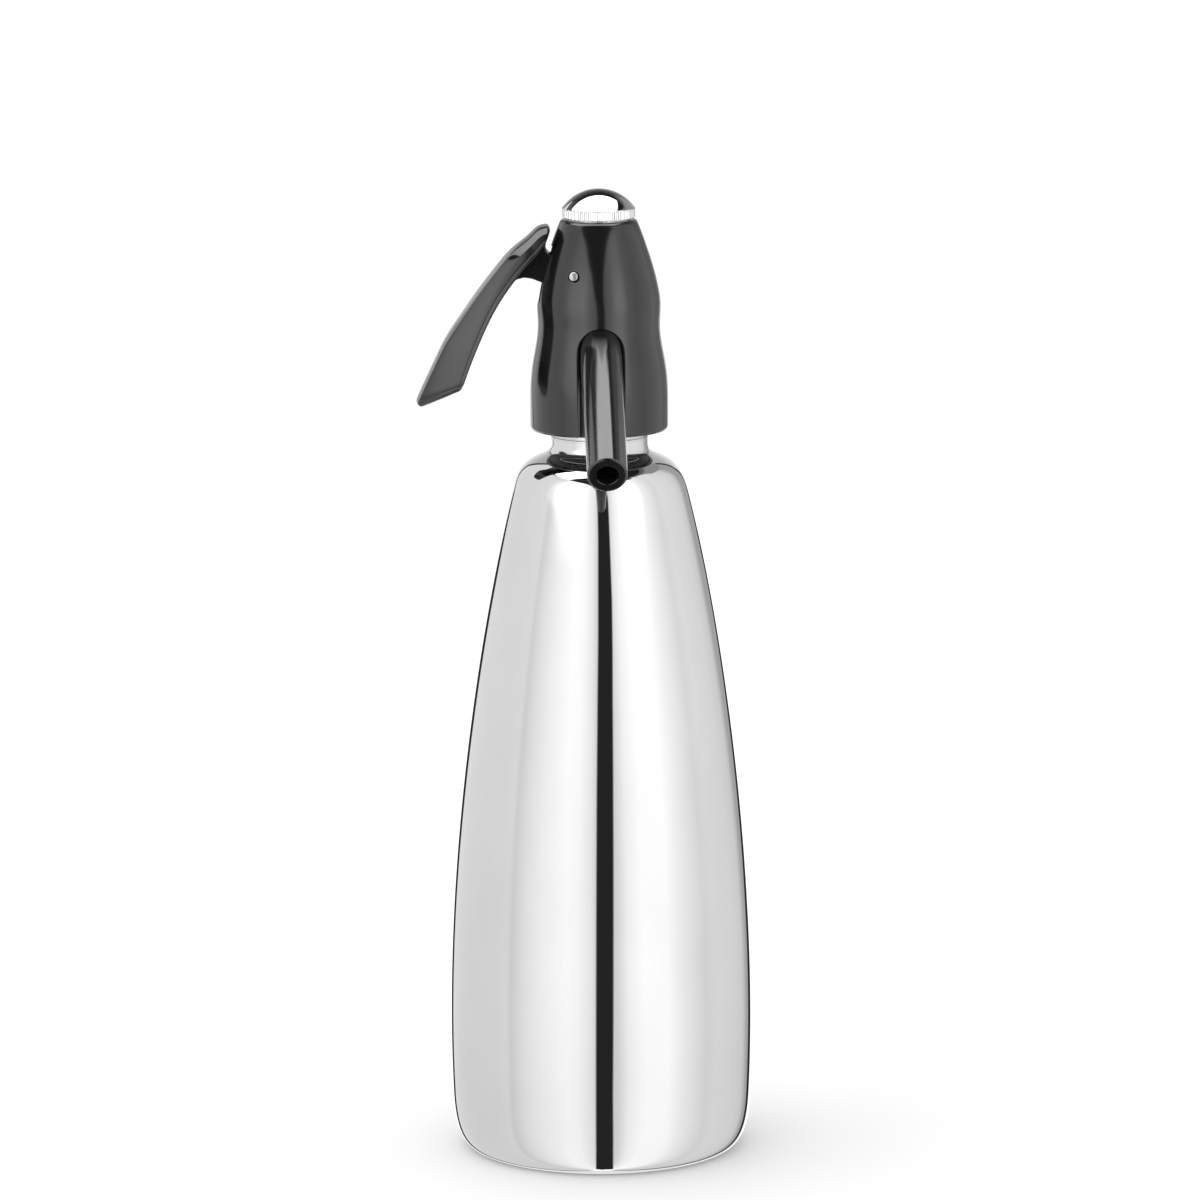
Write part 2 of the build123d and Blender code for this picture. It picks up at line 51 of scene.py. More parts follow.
# ------------------------------------------------------------ mesh building
class Builder:
    """Patches of faces that bring their own normals; patches join where they touch."""

    def __init__(self):
        self.v, self.n, self.f, self.count = [], [], [], 0

    def add(self, verts, normals, faces):
        v = np.asarray(verts, float).reshape(-1, 3)
        n = np.asarray(normals, float).reshape(-1, 3)
        n = n / np.maximum(np.linalg.norm(n, axis=1, keepdims=True), 1e-12)
        f = np.array(faces, int)
        a, b = (f[:, 2], f[:, 3]) if f.shape[1] == 4 else (f[:, 2], f[:, 1])
        if f.shape[1] == 4:
            g = np.cross(v[f[:, 2]] - v[f[:, 0]], v[f[:, 3]] - v[f[:, 1]])
        else:
            g = np.cross(v[f[:, 1]] - v[f[:, 0]], v[f[:, 2]] - v[f[:, 0]])
        wrong = np.einsum("ij,ij->i", g, n[f].mean(axis=1)) < 0
        f[wrong] = f[wrong][:, ::-1]
        self.v.append(v)
        self.n.append(n)
        self.f.append(f + self.count)
        self.count += len(v)

    def grid(self, pos, nrm, wrap=False):
        """pos and nrm are rows x columns x 3; wrap joins the last column to the first."""
        rows, cols = pos.shape[:2]
        idx = np.arange(rows * cols).reshape(rows, cols)
        if wrap:
            idx = np.hstack([idx, idx[:, :1]])
        f = np.stack([idx[:-1, :-1], idx[:-1, 1:], idx[1:, 1:], idx[1:, :-1]], -1).reshape(-1, 4)
        self.add(pos.reshape(-1, 3), nrm.reshape(-1, 3), f)

    def build(self, name, weld=1e-4, split=True):
        v, n = np.vstack(self.v), np.vstack(self.n)
        key = np.floor(v / weld + 0.37).astype(np.int64)
        _, first, inv = np.unique(key, axis=0, return_index=True, return_inverse=True)
        inv = inv.reshape(-1)
        faces, loops = [], []
        for f in self.f:
            w = inv[f]
            for a, b in zip(w.tolist(), f.tolist()):
                if len(set(a)) == len(a):
                    faces.append(a)
                    loops.extend(b)
                    continue
                keep = [k for k in range(len(a)) if a[k] != a[k - 1]]
                if len(keep) >= 3 and len({a[k] for k in keep}) == len(keep):
                    faces.append([a[k] for k in keep])
                    loops.extend(b[k] for k in keep)
        me = bpy.data.meshes.new(name)
        me.from_pydata((v[first] * MM).tolist(), [], faces)
        me.polygons.foreach_set("use_smooth", [True] * len(me.polygons))
        me.update()
        if split:
            me.normals_split_custom_set(n[loops].tolist())
        ob = bpy.data.objects.new(name, me)
        SCENE.collection.objects.link(ob)
        return ob


def natural_spline(pts, count=None, step=None, ends=None):
    """Points and unit tangents along a cubic spline through pts (chord-length knots)."""
    p = np.asarray(pts, float)
    s = np.r_[0, np.cumsum(np.linalg.norm(np.diff(p, axis=0), axis=1))]
    n = len(p)
    h = np.diff(s)
    A = np.zeros((n, n))
    rhs = np.zeros((n, p.shape[1]))
    A[0, 0] = A[-1, -1] = 1
    for i in range(1, n - 1):
        A[i, i - 1], A[i, i], A[i, i + 1] = h[i - 1], 2 * (h[i - 1] + h[i]), h[i]
        rhs[i] = 6 * ((p[i + 1] - p[i]) / h[i] - (p[i] - p[i - 1]) / h[i - 1])
    if ends is not None:
        for row, end in ((0, ends[0]), (-1, ends[1])):
            if end is None:
                continue
            d = np.asarray(end, float) / np.linalg.norm(end)
            if row == 0:
                A[0, 0], A[0, 1] = 2 * h[0], h[0]
                rhs[0] = 6 * ((p[1] - p[0]) / h[0] - d)
            else:
                A[-1, -1], A[-1, -2] = 2 * h[-1], h[-1]
                rhs[-1] = 6 * (d - (p[-1] - p[-2]) / h[-1])
    m = np.linalg.solve(A, rhs)
    if count is None:
        count = max(2, int(round(s[-1] / step)) + 1)
    t = np.linspace(0, s[-1], count)
    i = np.clip(np.searchsorted(s, t, side="right") - 1, 0, n - 2)
    a, b, hh = (s[i + 1] - t)[:, None], (t - s[i])[:, None], h[i][:, None]
    q = (m[i] * a**3 + m[i + 1] * b**3) / (6 * hh) + (p[i] / hh - m[i] * hh / 6) * a + (p[i + 1] / hh - m[i + 1] * hh / 6) * b
    d = (-m[i] * a**2 + m[i + 1] * b**2) / (2 * hh) - (p[i] / hh - m[i] * hh / 6) + (p[i + 1] / hh - m[i + 1] * hh / 6)
    return q, d / np.linalg.norm(d, axis=1, keepdims=True)


def bezier(p0, p1, p2, p3, n):
    t = np.linspace(0, 1, n)[:, None]
    p0, p1, p2, p3 = (np.asarray(p, float) for p in (p0, p1, p2, p3))
    q = (1 - t)**3 * p0 + 3 * (1 - t)**2 * t * p1 + 3 * (1 - t) * t**2 * p2 + t**3 * p3
    d = (1 - t)**2 * (p1 - p0) + 2 * (1 - t) * t * (p2 - p1) + t**2 * (p3 - p2)
    return q, d / np.linalg.norm(d, axis=1, keepdims=True)


def right_of(t):
    """Unit normals to the right of tangents (dr, dz): outward for a counterclockwise section."""
    return np.c_[t[:, 1], -t[:, 0]]


def strip(q, t):
    return (np.asarray(q, float), right_of(np.asarray(t, float)))


def strip_from(points):
    """A smooth strip through dense points, with tangents by differences."""
    p = np.asarray(points, float)
    t = np.gradient(p, axis=0)
    return strip(p, t / np.linalg.norm(t, axis=1, keepdims=True))


def reverse(s, sign=1.0):
    return (s[0][::-1], s[1][::-1] * sign)


def outline(points, closed=True, arc=4):
    """Strips of a section from (r, z, fillet) corners, counterclockwise."""
    pts = [(p[0], p[1], p[2] if len(p) > 2 else 0.0) for p in points]
    n = len(pts)
    ends = []
    for i, (x, y, rad) in enumerate(pts):
        p = np.array([x, y], float)
        if rad <= 0 or (not closed and i in (0, n - 1)):
            ends.append((p, p, None))
            continue
        a = np.array(pts[i - 1][:2], float) - p
        b = np.array(pts[(i + 1) % n][:2], float) - p
        a /= np.linalg.norm(a)
        b /= np.linalg.norm(b)
        half = math.acos(max(-1, min(1, float(a @ b)))) / 2
        cut = rad / math.tan(half)
        c = p + (a + b) / np.linalg.norm(a + b) * rad / math.sin(half)
        p0, p1 = p + a * cut, p + b * cut
        a0 = math.atan2(*(p0 - c)[::-1])
        a1 = math.atan2(*(p1 - c)[::-1])
        d = (a1 - a0 + PI) % (2 * PI) - PI
        ang = a0 + d * np.linspace(0, 1, arc + 1)
        q = c + rad * np.c_[np.cos(ang), np.sin(ang)]
        t = np.c_[-np.sin(ang), np.cos(ang)] * (1 if d > 0 else -1)
        ends.append((p0, p1, strip(q, t)))
    out = []
    for i in range(n):
        if ends[i][2] is not None:
            out.append(ends[i][2])
        if not closed and i == n - 1:
            break
        a, b = ends[i][1], ends[(i + 1) % n][0]
        if np.linalg.norm(b - a) > 1e-6:
            t = (b - a) / np.linalg.norm(b - a)
            out.append(strip([a, b], [t, t]))
    return out


def lathe(builder, strips, seg, start=0.0, place=None):
    """Turns section strips round Z; place is (origin, 3x3 matrix of columns) for another axis."""
    a = start + np.arange(seg) * 2 * PI / seg
    ca, sa = np.cos(a), np.sin(a)
    for q, n in strips:
        r, z = q[:, 0:1], q[:, 1:2]
        pos = np.stack([r * ca, r * sa, np.repeat(z, seg, 1)], -1)
        nrm = np.stack([n[:, 0:1] * ca, n[:, 0:1] * sa, np.repeat(n[:, 1:2], seg, 1)], -1)
        if place is not None:
            o, m = place
            pos = pos @ np.asarray(m).T + np.asarray(o)
            nrm = nrm @ np.asarray(m).T
        builder.grid(pos, nrm, wrap=True)


def put(ob, body, material, replaces=()):
    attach(ob, body)
    if replaces:
        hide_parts(*replaces)
    ob.data.materials.clear()
    ob.data.materials.append(material)
    return ob


# ---------------------------------------------------------------- materials
class Graph:
    def __init__(self, tree):
        self.t = tree
        self.x = 0

    def node(self, kind, **props):
        n = self.t.nodes.new(kind)
        self.x += 40
        n.location = (self.x, 0)
        for k, v in props.items():
            setattr(n, k, v)
        return n

    def link(self, a, b):
        self.t.links.new(a, b)

    def math(self, op, a, b=None, c=None, clamp=False):
        n = self.node("ShaderNodeMath", operation=op, use_clamp=clamp)
        for i, x in enumerate((a, b, c)):
            if x is None:
                continue
            if isinstance(x, (int, float)):
                n.inputs[i].default_value = x
            else:
                self.link(x, n.inputs[i])
        return n.outputs[0]

    def dot(self, v, w):
        n = self.node("ShaderNodeVectorMath", operation="DOT_PRODUCT")
        self.link(v, n.inputs[0])
        n.inputs[1].default_value = w
        return n.outputs["Value"]

    def step(self, x, lo, hi, a=0.0, b=1.0, smooth=True):
        """a below lo, b above hi; lo and hi may be numbers or sockets."""
        n = self.node("ShaderNodeMapRange", interpolation_type="SMOOTHSTEP" if smooth else "LINEAR", clamp=True)
        for i, v in ((0, x), (1, lo), (2, hi), (3, a), (4, b)):
            if isinstance(v, (int, float)):
                n.inputs[i].default_value = v
            else:
                self.link(v, n.inputs[i])
        return n.outputs[0]

    def ramp(self, x, stops, mode="LINEAR"):
        n = self.node("ShaderNodeValToRGB")
        n.color_ramp.interpolation = mode
        e = n.color_ramp.elements
        while len(e) > 1:
            e.remove(e[-1])
        first = True
        for pos, v in stops:
            c = (v, v, v, 1) if isinstance(v, (int, float)) else (*v, 1)
            if first:
                e[0].position, e[0].color = pos, c
                first = False
            else:
                k = e.new(pos)
                k.color = c
        self.link(x, n.inputs[0])
        return n.outputs[0]

    def noise(self, vec, scale, detail=2.0, rough=0.5):
        n = self.node("ShaderNodeTexNoise")
        n.inputs["Scale"].default_value = scale
        n.inputs["Detail"].default_value = detail
        n.inputs["Roughness"].default_value = rough
        self.link(vec, n.inputs["Vector"])
        return n.outputs["Fac"]

    def scaled(self, vec, s):
        n = self.node("ShaderNodeVectorMath", operation="MULTIPLY")
        self.link(vec, n.inputs[0])
        n.inputs[1].default_value = s
        return n.outputs[0]


def material(name, metallic=0.0, ior=1.5, coat=0.0, coat_rough=0.05, specular=0.5):
    m = bpy.data.materials.new(name)
    m.use_nodes = True
    g = Graph(m.node_tree)
    b = m.node_tree.nodes["Principled BSDF"]
    b.inputs["Metallic"].default_value = metallic
    b.inputs["IOR"].default_value = ior
    b.inputs["Coat Weight"].default_value = coat
    b.inputs["Coat Roughness"].default_value = coat_rough
    b.inputs["Specular IOR Level"].default_value = specular
    tex = g.node("ShaderNodeTexCoord")
    return m, g, b, tex.outputs["Object"]


def cylinder_vec(g, vec):
    """(radius, angle in turns, height) of an object point round Z, in metres and turns."""
    sep = g.node("ShaderNodeSeparateXYZ")
    g.link(vec, sep.inputs[0])
    x, y, z = sep.outputs
    r = g.math("SQRT", g.math("ADD", g.math("MULTIPLY", x, x), g.math("MULTIPLY", y, y)))
    a = g.math("ARCTAN2", y, x)
    return r, a, z, x, y


def bump(g, b, height, strength, distance):
    n = g.node("ShaderNodeBump")
    n.inputs["Strength"].default_value = strength
    n.inputs["Distance"].default_value = distance
    g.link(height, n.inputs["Height"])
    g.link(n.outputs[0], b.inputs["Normal"])


def polished_steel():
    """Mirror-polished drawn steel: faint rings and cloudiness left by the polishing mop."""
    m, g, b, v = material("polished_steel", metallic=1.0)
    r, a, z, x, y = cylinder_vec(g, v)
    com = g.node("ShaderNodeCombineXYZ")
    g.link(g.math("MULTIPLY", g.math("COSINE", a), 1.2), com.inputs[0])
    g.link(g.math("MULTIPLY", g.math("SINE", a), 1.2), com.inputs[1])
    g.link(g.math("MULTIPLY", z, 900.0), com.inputs[2])
    rings = g.noise(com.outputs[0], 1.6, 4.0, 0.6)
    cloud = g.noise(g.scaled(v, (1, 1, 0.6)), 38.0, 3.0, 0.55)
    g.link(g.ramp(cloud, [(0.3, (0.600, 0.602, 0.606)), (0.7, (0.632, 0.633, 0.635))]), b.inputs["Base Color"])
    rough = g.math("ADD", g.step(rings, 0.3, 0.8, 0.020, 0.034), g.step(cloud, 0.35, 0.75, 0.0, 0.012))
    com2 = g.node("ShaderNodeCombineXYZ")
    g.link(g.math("MULTIPLY", g.math("COSINE", a), 0.5), com2.inputs[0])
    g.link(g.math("MULTIPLY", g.math("SINE", a), 0.5), com2.inputs[1])
    g.link(g.math("MULTIPLY", z, 2300.0), com2.inputs[2])
    turned = g.noise(com2.outputs[0], 1.0, 3.0, 0.6)
    neck = g.step(z, 0.2334, 0.2342)
    g.link(g.math("ADD", rough, g.math("MULTIPLY", neck, g.step(turned, 0.3, 0.75, 0.04, 0.16))), b.inputs["Roughness"])
    height = g.math("ADD", rings, g.math("MULTIPLY", g.math("MULTIPLY", turned, neck), 22.0))
    bump(g, b, height, 0.02, 0.00002)
    return m


def turned_steel(name="machined_steel", tint=(0.60, 0.60, 0.61), rough=(0.16, 0.30), pitch=2600.0, strength=0.22):
    m, g, b, v = material(name, metallic=1.0)
    r, a, z, x, y = cylinder_vec(g, v)
    com = g.node("ShaderNodeCombineXYZ")
    g.link(g.math("MULTIPLY", g.math("COSINE", a), 0.6), com.inputs[0])
    g.link(g.math("MULTIPLY", g.math("SINE", a), 0.6), com.inputs[1])
    g.link(g.math("MULTIPLY", g.math("ADD", z, g.math("MULTIPLY", r, 0.8)), pitch), com.inputs[2])
    lines = g.noise(com.outputs[0], 1.0, 3.0, 0.65)
    cloud = g.noise(v, 120.0, 2.0)
    lo = tuple(c * 0.93 for c in tint)
    g.link(g.ramp(g.math("ADD", g.math("MULTIPLY", lines, 0.6), g.math("MULTIPLY", cloud, 0.4)), [(0.3, lo), (0.7, tint)]), b.inputs["Base Color"])
    g.link(g.step(lines, 0.25, 0.8, rough[0], rough[1]), b.inputs["Roughness"])
    bump(g, b, lines, strength, 0.00006)
    return m


def chrome():
    m, g, b, v = material("cap_chrome", metallic=1.0)
    cloud = g.noise(v, 160.0, 3.0, 0.6)
    fine = g.noise(v, 1400.0, 2.0, 0.6)
    g.link(g.ramp(cloud, [(0.3, (0.64, 0.645, 0.655)), (0.7, (0.68, 0.684, 0.69))]), b.inputs["Base Color"])
    g.link(g.step(g.math("ADD", g.math("MULTIPLY", cloud, 0.7), g.math("MULTIPLY", fine, 0.3)), 0.3, 0.75, 0.045, 0.085), b.inputs["Roughness"])
    bump(g, b, fine, 0.02, 0.00003)
    return m


def gloss_plastic(name="black_gloss", level=0.0070, rough=(0.10, 0.17)):
    """High-gloss moulded black plastic: slight orange peel, a few handling marks in the gloss."""
    m, g, b, v = material(name, ior=1.56)
    cloud = g.noise(v, 55.0, 3.0, 0.55)
    peel = g.noise(v, 420.0, 2.0, 0.5)
    fine = g.noise(v, 3000.0, 2.0, 0.6)
    g.link(g.ramp(cloud, [(0.3, (level * 0.85, level * 0.85, level * 0.87)), (0.75, (level * 1.2, level * 1.19, level * 1.19))]), b.inputs["Base Color"])
    g.link(g.step(g.math("ADD", g.math("MULTIPLY", cloud, 0.55), g.math("MULTIPLY", fine, 0.45)), 0.3, 0.72, rough[0], rough[1]), b.inputs["Roughness"])
    bump(g, b, g.math("ADD", g.math("MULTIPLY", peel, 0.75), g.math("MULTIPLY", fine, 0.25)), 0.035, 0.00006)
    return m


def moulded(name, colour, rough, grain=900.0, strength=0.12, spread=0.1):
    m, g, b, v = material(name)
    cloud = g.noise(v, 70.0, 3.0)
    fine = g.noise(v, grain, 3.0, 0.6)
    lo = tuple(c * (1 - spread) for c in colour)
    hi = tuple(min(1.0, c * (1 + spread)) for c in colour)
    g.link(g.ramp(cloud, [(0.3, lo), (0.7, hi)]), b.inputs["Base Color"])
    g.link(g.step(fine, 0.3, 0.7, rough[0], rough[1]), b.inputs["Roughness"])
    bump(g, b, fine, strength, 0.0001)
    return m


def metal(name, colour, rough, grain=1500.0, strength=0.08, spread=0.06):
    m, g, b, v = material(name, metallic=1.0)
    cloud = g.noise(v, 90.0, 3.0)
    fine = g.noise(g.scaled(v, (1, 1, 4)), grain, 3.0, 0.6)
    lo = tuple(c * (1 - spread) for c in colour)
    hi = tuple(min(1.0, c * (1 + spread)) for c in colour)
    g.link(g.ramp(cloud, [(0.3, lo), (0.7, hi)]), b.inputs["Base Color"])
    g.link(g.step(fine, 0.3, 0.7, rough[0], rough[1]), b.inputs["Roughness"])
    bump(g, b, fine, strength, 0.00005)
    return m


MAT = {
    "polished_steel": polished_steel(),
    "machined_steel": turned_steel(),
    "plain_steel": metal("plain_steel", (0.56, 0.56, 0.57), (0.18, 0.32)),
    "spring_steel": metal("spring_steel", (0.46, 0.46, 0.48), (0.25, 0.4)),
    "cap_chrome": chrome(),
    "plated_brass": metal("plated_brass", (0.50, 0.49, 0.46), (0.34, 0.46)),
    "brass": metal("brass", (0.72, 0.53, 0.26), (0.2, 0.34)),
    "black_gloss": gloss_plastic(),
    "black_matte": moulded("black_matte", (0.018, 0.018, 0.018), (0.38, 0.55)),
    "white_plastic": moulded("white_plastic", (0.80, 0.80, 0.77), (0.35, 0.5), strength=0.05, spread=0.03),
    "black_rubber": moulded("black_rubber", (0.020, 0.020, 0.021), (0.55, 0.75), grain=1600.0, strength=0.2),
}

SLOTS = {s["node"]: s["material_slot"] for s in frame["record"]["subparts"]}
for node, ob in NODES.items():
    ob.data.materials.clear()
    ob.data.materials.append(MAT[SLOTS[node]])


# ------------------------------------------------------------- bottle shell
def bottle_r(z):
    t = z / 100.0
    return -0.61583 * t**4 + 3.02406 * t**3 - 11.3883 * t**2 + 8.36243 * t + 48.47995


def bottle_dr(z):
    t = z / 100.0
    return (-4 * 0.61583 * t**3 + 3 * 3.02406 * t**2 - 2 * 11.3883 * t + 8.36243) / 100.0


def unit(v):
    v = np.asarray(v, float)
    return v / np.linalg.norm(v)


def bottle_outer():
    ze, zs = 18.0, 217.0
    d0 = np.array([math.cos(0.132), math.sin(0.132)])
    p3 = np.array([bottle_r(ze), ze])
    d3 = unit([bottle_dr(ze), 1.0])
    p0 = np.array([42.41, 0.0])
    corner = bezier(p0, p0 + 4.502 * d0, p3 - 11.38 * d3, p3, 26)
    z = np.linspace(ze, zs, 130)
    wall_t = np.c_[bottle_dr(z), np.ones_like(z)]
    wall_t /= np.linalg.norm(wall_t, axis=1, keepdims=True)
    wall = (np.c_[bottle_r(z), z], wall_t)
    a0 = np.array([bottle_r(zs), zs])
    da = unit([bottle_dr(zs), 1.0])
    a3 = np.array([19.356, 232.75])
    dm = np.array([-math.cos(0.382), math.sin(0.382)])
    shoulder = bezier(a0, a0 + 9.769 * da, a3 - 7.888 * dm, a3, 44)
    b3 = np.array([16.1, 236.6])
    flare = bezier(a3, a3 + 1.78 * dm, b3 - np.array([0, 2.75]), b3, 26)
    lip = (np.array([[16.1, 236.6], [16.1, 238.0]]), np.array([[0.0, 1.0], [0.0, 1.0]]))
    return [corner, wall, shoulder, flare, lip]


outer = bottle_outer()
dish_r = np.linspace(0, 42.41, 28)
dish_z = 1.2 * (1 - np.clip((dish_r - 30.0) / 9.5, 0, 1)**2 * (3 - 2 * np.clip((dish_r - 30.0) / 9.5, 0, 1)))
sec = [strip_from(np.c_[dish_r, dish_z])] + [strip(*s) for s in outer]
sec += outline([(16.1, 238.0), (15.1, 238.0)], closed=False)
inner = []
for q, t in reversed(outer):
    n = right_of(t)
    inner.append(((q - n)[::-1][::2] if len(q) > 60 else (q - n)[::-1], (-n)[::-1][::2] if len(q) > 60 else (-n)[::-1]))
# the inner wall runs down from the neck and ends on the inner floor
for k in range(len(inner) - 1):
    inner[k + 1][0][0] = inner[k][0][-1]
sec += inner
in_end = inner[-1][0][-1]
floor_r = np.linspace(in_end[0], 0, 24)
floor_z = 1.0 + 1.2 * (1 - np.clip((floor_r - 30.0) / 9.5, 0, 1)**2 * (3 - 2 * np.clip((floor_r - 30.0) / 9.5, 0, 1)))
floor_z[0] = in_end[1]
sec.append(strip_from(np.c_[floor_r, floor_z]))
B = Builder()
lathe(B, sec, 288)
put(B.build("bottle_shell_polished"), "bottle", MAT["polished_steel"], ["bottle_shell"])

# ---------------------------------------------------------------- neck ring
THREAD_Z0, THREAD_PITCH = 241.9, 3.0


def thread_height(z, a, z0, z1, pitch, lead=0.35):
    """0..1 height of a rounded thread at height z and angle a (a grid), fading at both ends."""
    ph = ((z - z0) / pitch - a / (2 * PI)) % 1.0
    ridge = np.clip(1.35 - np.abs(ph - 0.5) * 3.9, 0, 1)
    ridge = ridge * ridge * (3 - 2 * ridge)
    turn = (z - z0) / pitch - a / (2 * PI)
    fade = np.clip((z - z0) / (lead * pitch), 0, 1) * np.clip((z1 - z) / (lead * pitch), 0, 1)
    return ridge * fade


def threaded(builder, r0, h, z0, z1, pitch, seg=144, rows=70):
    a = np.arange(seg) * 2 * PI / seg
    z = np.linspace(z0, z1, rows)
    A, Z = np.meshgrid(a, z)
    R = r0 + h * thread_height(Z, A, z0, z1, pitch)
    R[0] = R[-1] = r0
    pos = np.stack([R * np.cos(A), R * np.sin(A), Z], -1)
    dA = np.roll(pos, -1, 1) - np.roll(pos, 1, 1)
    dZ = np.gradient(pos, axis=0)
    builder.grid(pos, np.cross(dA, dZ), wrap=True)


B = Builder()
ring = outline([(12.0, 228.0, 0.3), (14.2, 228.0, 0.2), (15.1, 229.4), (15.1, 238.0), (16.1, 238.0), (16.1, 238.9),
                (15.98, 239.05), (15.98, 239.25), (16.1, 239.4), (16.1, 240.6, 0.35), (15.0, 240.6, 0.15), (15.0, 241.4)], closed=False)
ring += outline([(15.0, 252.8), (15.0, 253.4, 0.2), (14.4, 254.0, 0.1), (12.4, 254.0, 0.15), (12.0, 253.6, 0.15), (12.0, 228.0)], closed=False)
lathe(B, ring, 144)
threaded(B, 15.0, 0.9, 241.4, 252.8, 3.0)
put(B.build("neck_ring_turned"), "bottle", MAT["machined_steel"], ["neck_ring"])


# ------------------------------------------------------------- head housing
H_WALL, H_BOTTOM = 2.0, 241.0
H_low = bezier((21.75, 241.0), (22.35, 241.0), (22.70, 241.35), (22.70, 242.3), 10)
H_mid = natural_spline([(22.70, 242.3), (22.71, 245.0), (22.71, 248.0), (22.70, 252.0), (22.57, 256.0), (22.22, 260.0), (21.62, 264.0),
                        (20.87, 268.0), (20.25, 272.0), (20.04, 276.0), (20.21, 280.0), (20.14, 284.0), (19.49, 288.0),
                        (18.56, 292.0), (17.44, 296.0), (16.15, 300.0), (14.78, 304.0), (13.86, 306.5), (13.02, 308.6)], step=0.35, ends=((0, 1), (-0.42, 1)))
H_top = bezier((13.02, 308.6), (12.72, 309.31), (12.55, 310.1), (11.5, 310.1), 14)
HQ = np.vstack([H_low[0], H_mid[0][1:]])
HT = np.vstack([H_low[1], H_mid[1][1:]])
HS = np.r_[0, np.cumsum(np.linalg.norm(np.diff(HQ, axis=0), axis=1))]
H_LEN = HS[-1]


def hous(v):
    """(r, z, tangent r, tangent z) at arc length v up the outer meridian."""
    return tuple(np.interp(v, HS, c) for c in (HQ[:, 0], HQ[:, 1], HT[:, 0], HT[:, 1]))


def hous_v(z):
    return np.interp(z, HQ[:, 1], HS)


def hous_r(z):
    return np.interp(z, HQ[:, 1], HQ[:, 0])


iz_top = np.linspace(245.5, 303.5, 90)
IN_Z = np.r_[H_BOTTOM, 243.9, 244.4, iz_top]
IN_R = np.r_[20.72, 20.72, 20.72, np.minimum(20.72, hous_r(iz_top) - H_WALL * np.sqrt(1 + np.gradient(hous_r(iz_top), iz_top)**2))]


def inner_r(z):
    return np.interp(z, IN_Z, IN_R)


def frame_at(th, v):
    """Point, outward normal, and the two surface directions at (angle from the front, arc length)."""
    r, z, tr, tz = hous(v)
    s, c = np.sin(th), np.cos(th)
    p = np.stack([r * s, -r * c, z], -1)
    e_t = np.stack([c, s, np.zeros_like(s)], -1)
    e_m = np.stack([tr * s, -tr * c, tz], -1)
    n = np.stack([tz * s, -tz * c, -tr], -1)
    return p, n, e_t, e_m, r


def edge_rows(th, v, weight, radius, steps=5, closed=True):
    """Rows from the surface round a filleted edge onto the wall of a cut-out. The material is on the left."""
    p, n, e_t, e_m, r = frame_at(th, v)
    if closed:
        dth = (np.roll(th, -1) - np.roll(th, 1)) * r
        dv = np.roll(v, -1) - np.roll(v, 1)
    else:
        dth, dv = np.gradient(th) * r, np.gradient(v)
    L = np.hypot(dth, dv)
    L[L == 0] = 1
    nt, nv = -dv / L, dth / L
    rows = []
    for k in range(steps + 1):
        psi = k / steps * PI / 2
        d = radius * (1 - math.sin(psi))
        h = radius * (1 - math.cos(psi)) * weight
        th2, v2 = th + nt * d / r, v + nv * d
        p2, n2, et2, em2, _ = frame_at(th2, v2)
        into = -(nt[:, None] * et2 + nv[:, None] * em2)
        nrm = n2 * (math.cos(psi) * weight + (1 - weight))[:, None] + into * (math.sin(psi) * weight)[:, None]
        rows.append((p2 - n2 * h[:, None], nrm, th2, v2))
    return rows


def wall_patch(builder, top, bottom, into, closed, rows=4):
    """A ruled wall from one polyline to another; into points to the side that shows."""
    t = np.linspace(0, 1, rows)[:, None, None]
    pos = top[None] * (1 - t) + bottom[None] * t
    if closed:
        du = np.roll(pos, -1, 1) - np.roll(pos, 1, 1)
    else:
        du = np.gradient(pos, axis=1)
    nrm = np.cross(du, np.repeat((bottom - top)[None], rows, 0))
    sign = np.sign(np.einsum("ijk,jk->ij", nrm, into))
    sign[sign == 0] = 1
    builder.grid(pos, nrm * sign[..., None], wrap=closed)


def inside(poly, pts):
    x, y = pts[:, 0], pts[:, 1]
    ok = np.zeros(len(pts), bool)
    a, b = poly, np.roll(poly, -1, 0)
    for (x0, y0), (x1, y1) in zip(a, b):
        if y0 == y1:
            continue
        hit = ((y0 > y) != (y1 > y)) & (x < (x1 - x0) * (y - y0) / (y1 - y0) + x0)
        ok ^= hit
    return ok


def far_from(poly, pts, gap, closed=True):
    a = poly
    b = np.roll(poly, -1, 0) if closed else poly[1:]
    if not closed:
        a = poly[:-1]
    ok = np.ones(len(pts), bool)
    for p, q in zip(a, b):
        near = (np.abs(pts[:, 0] - (p[0] + q[0]) / 2) < gap + 2) & (np.abs(pts[:, 1] - (p[1] + q[1]) / 2) < gap + 2) & ok
        if not near.any():
            continue
        w = pts[near]
        d = q - p
        t = np.clip(((w - p) @ d) / max(d @ d, 1e-12), 0, 1)
        dist = np.linalg.norm(w - (p + t[:, None] * d), axis=1)
        idx = np.flatnonzero(near)
        ok[idx[dist < gap]] = False
    return ok


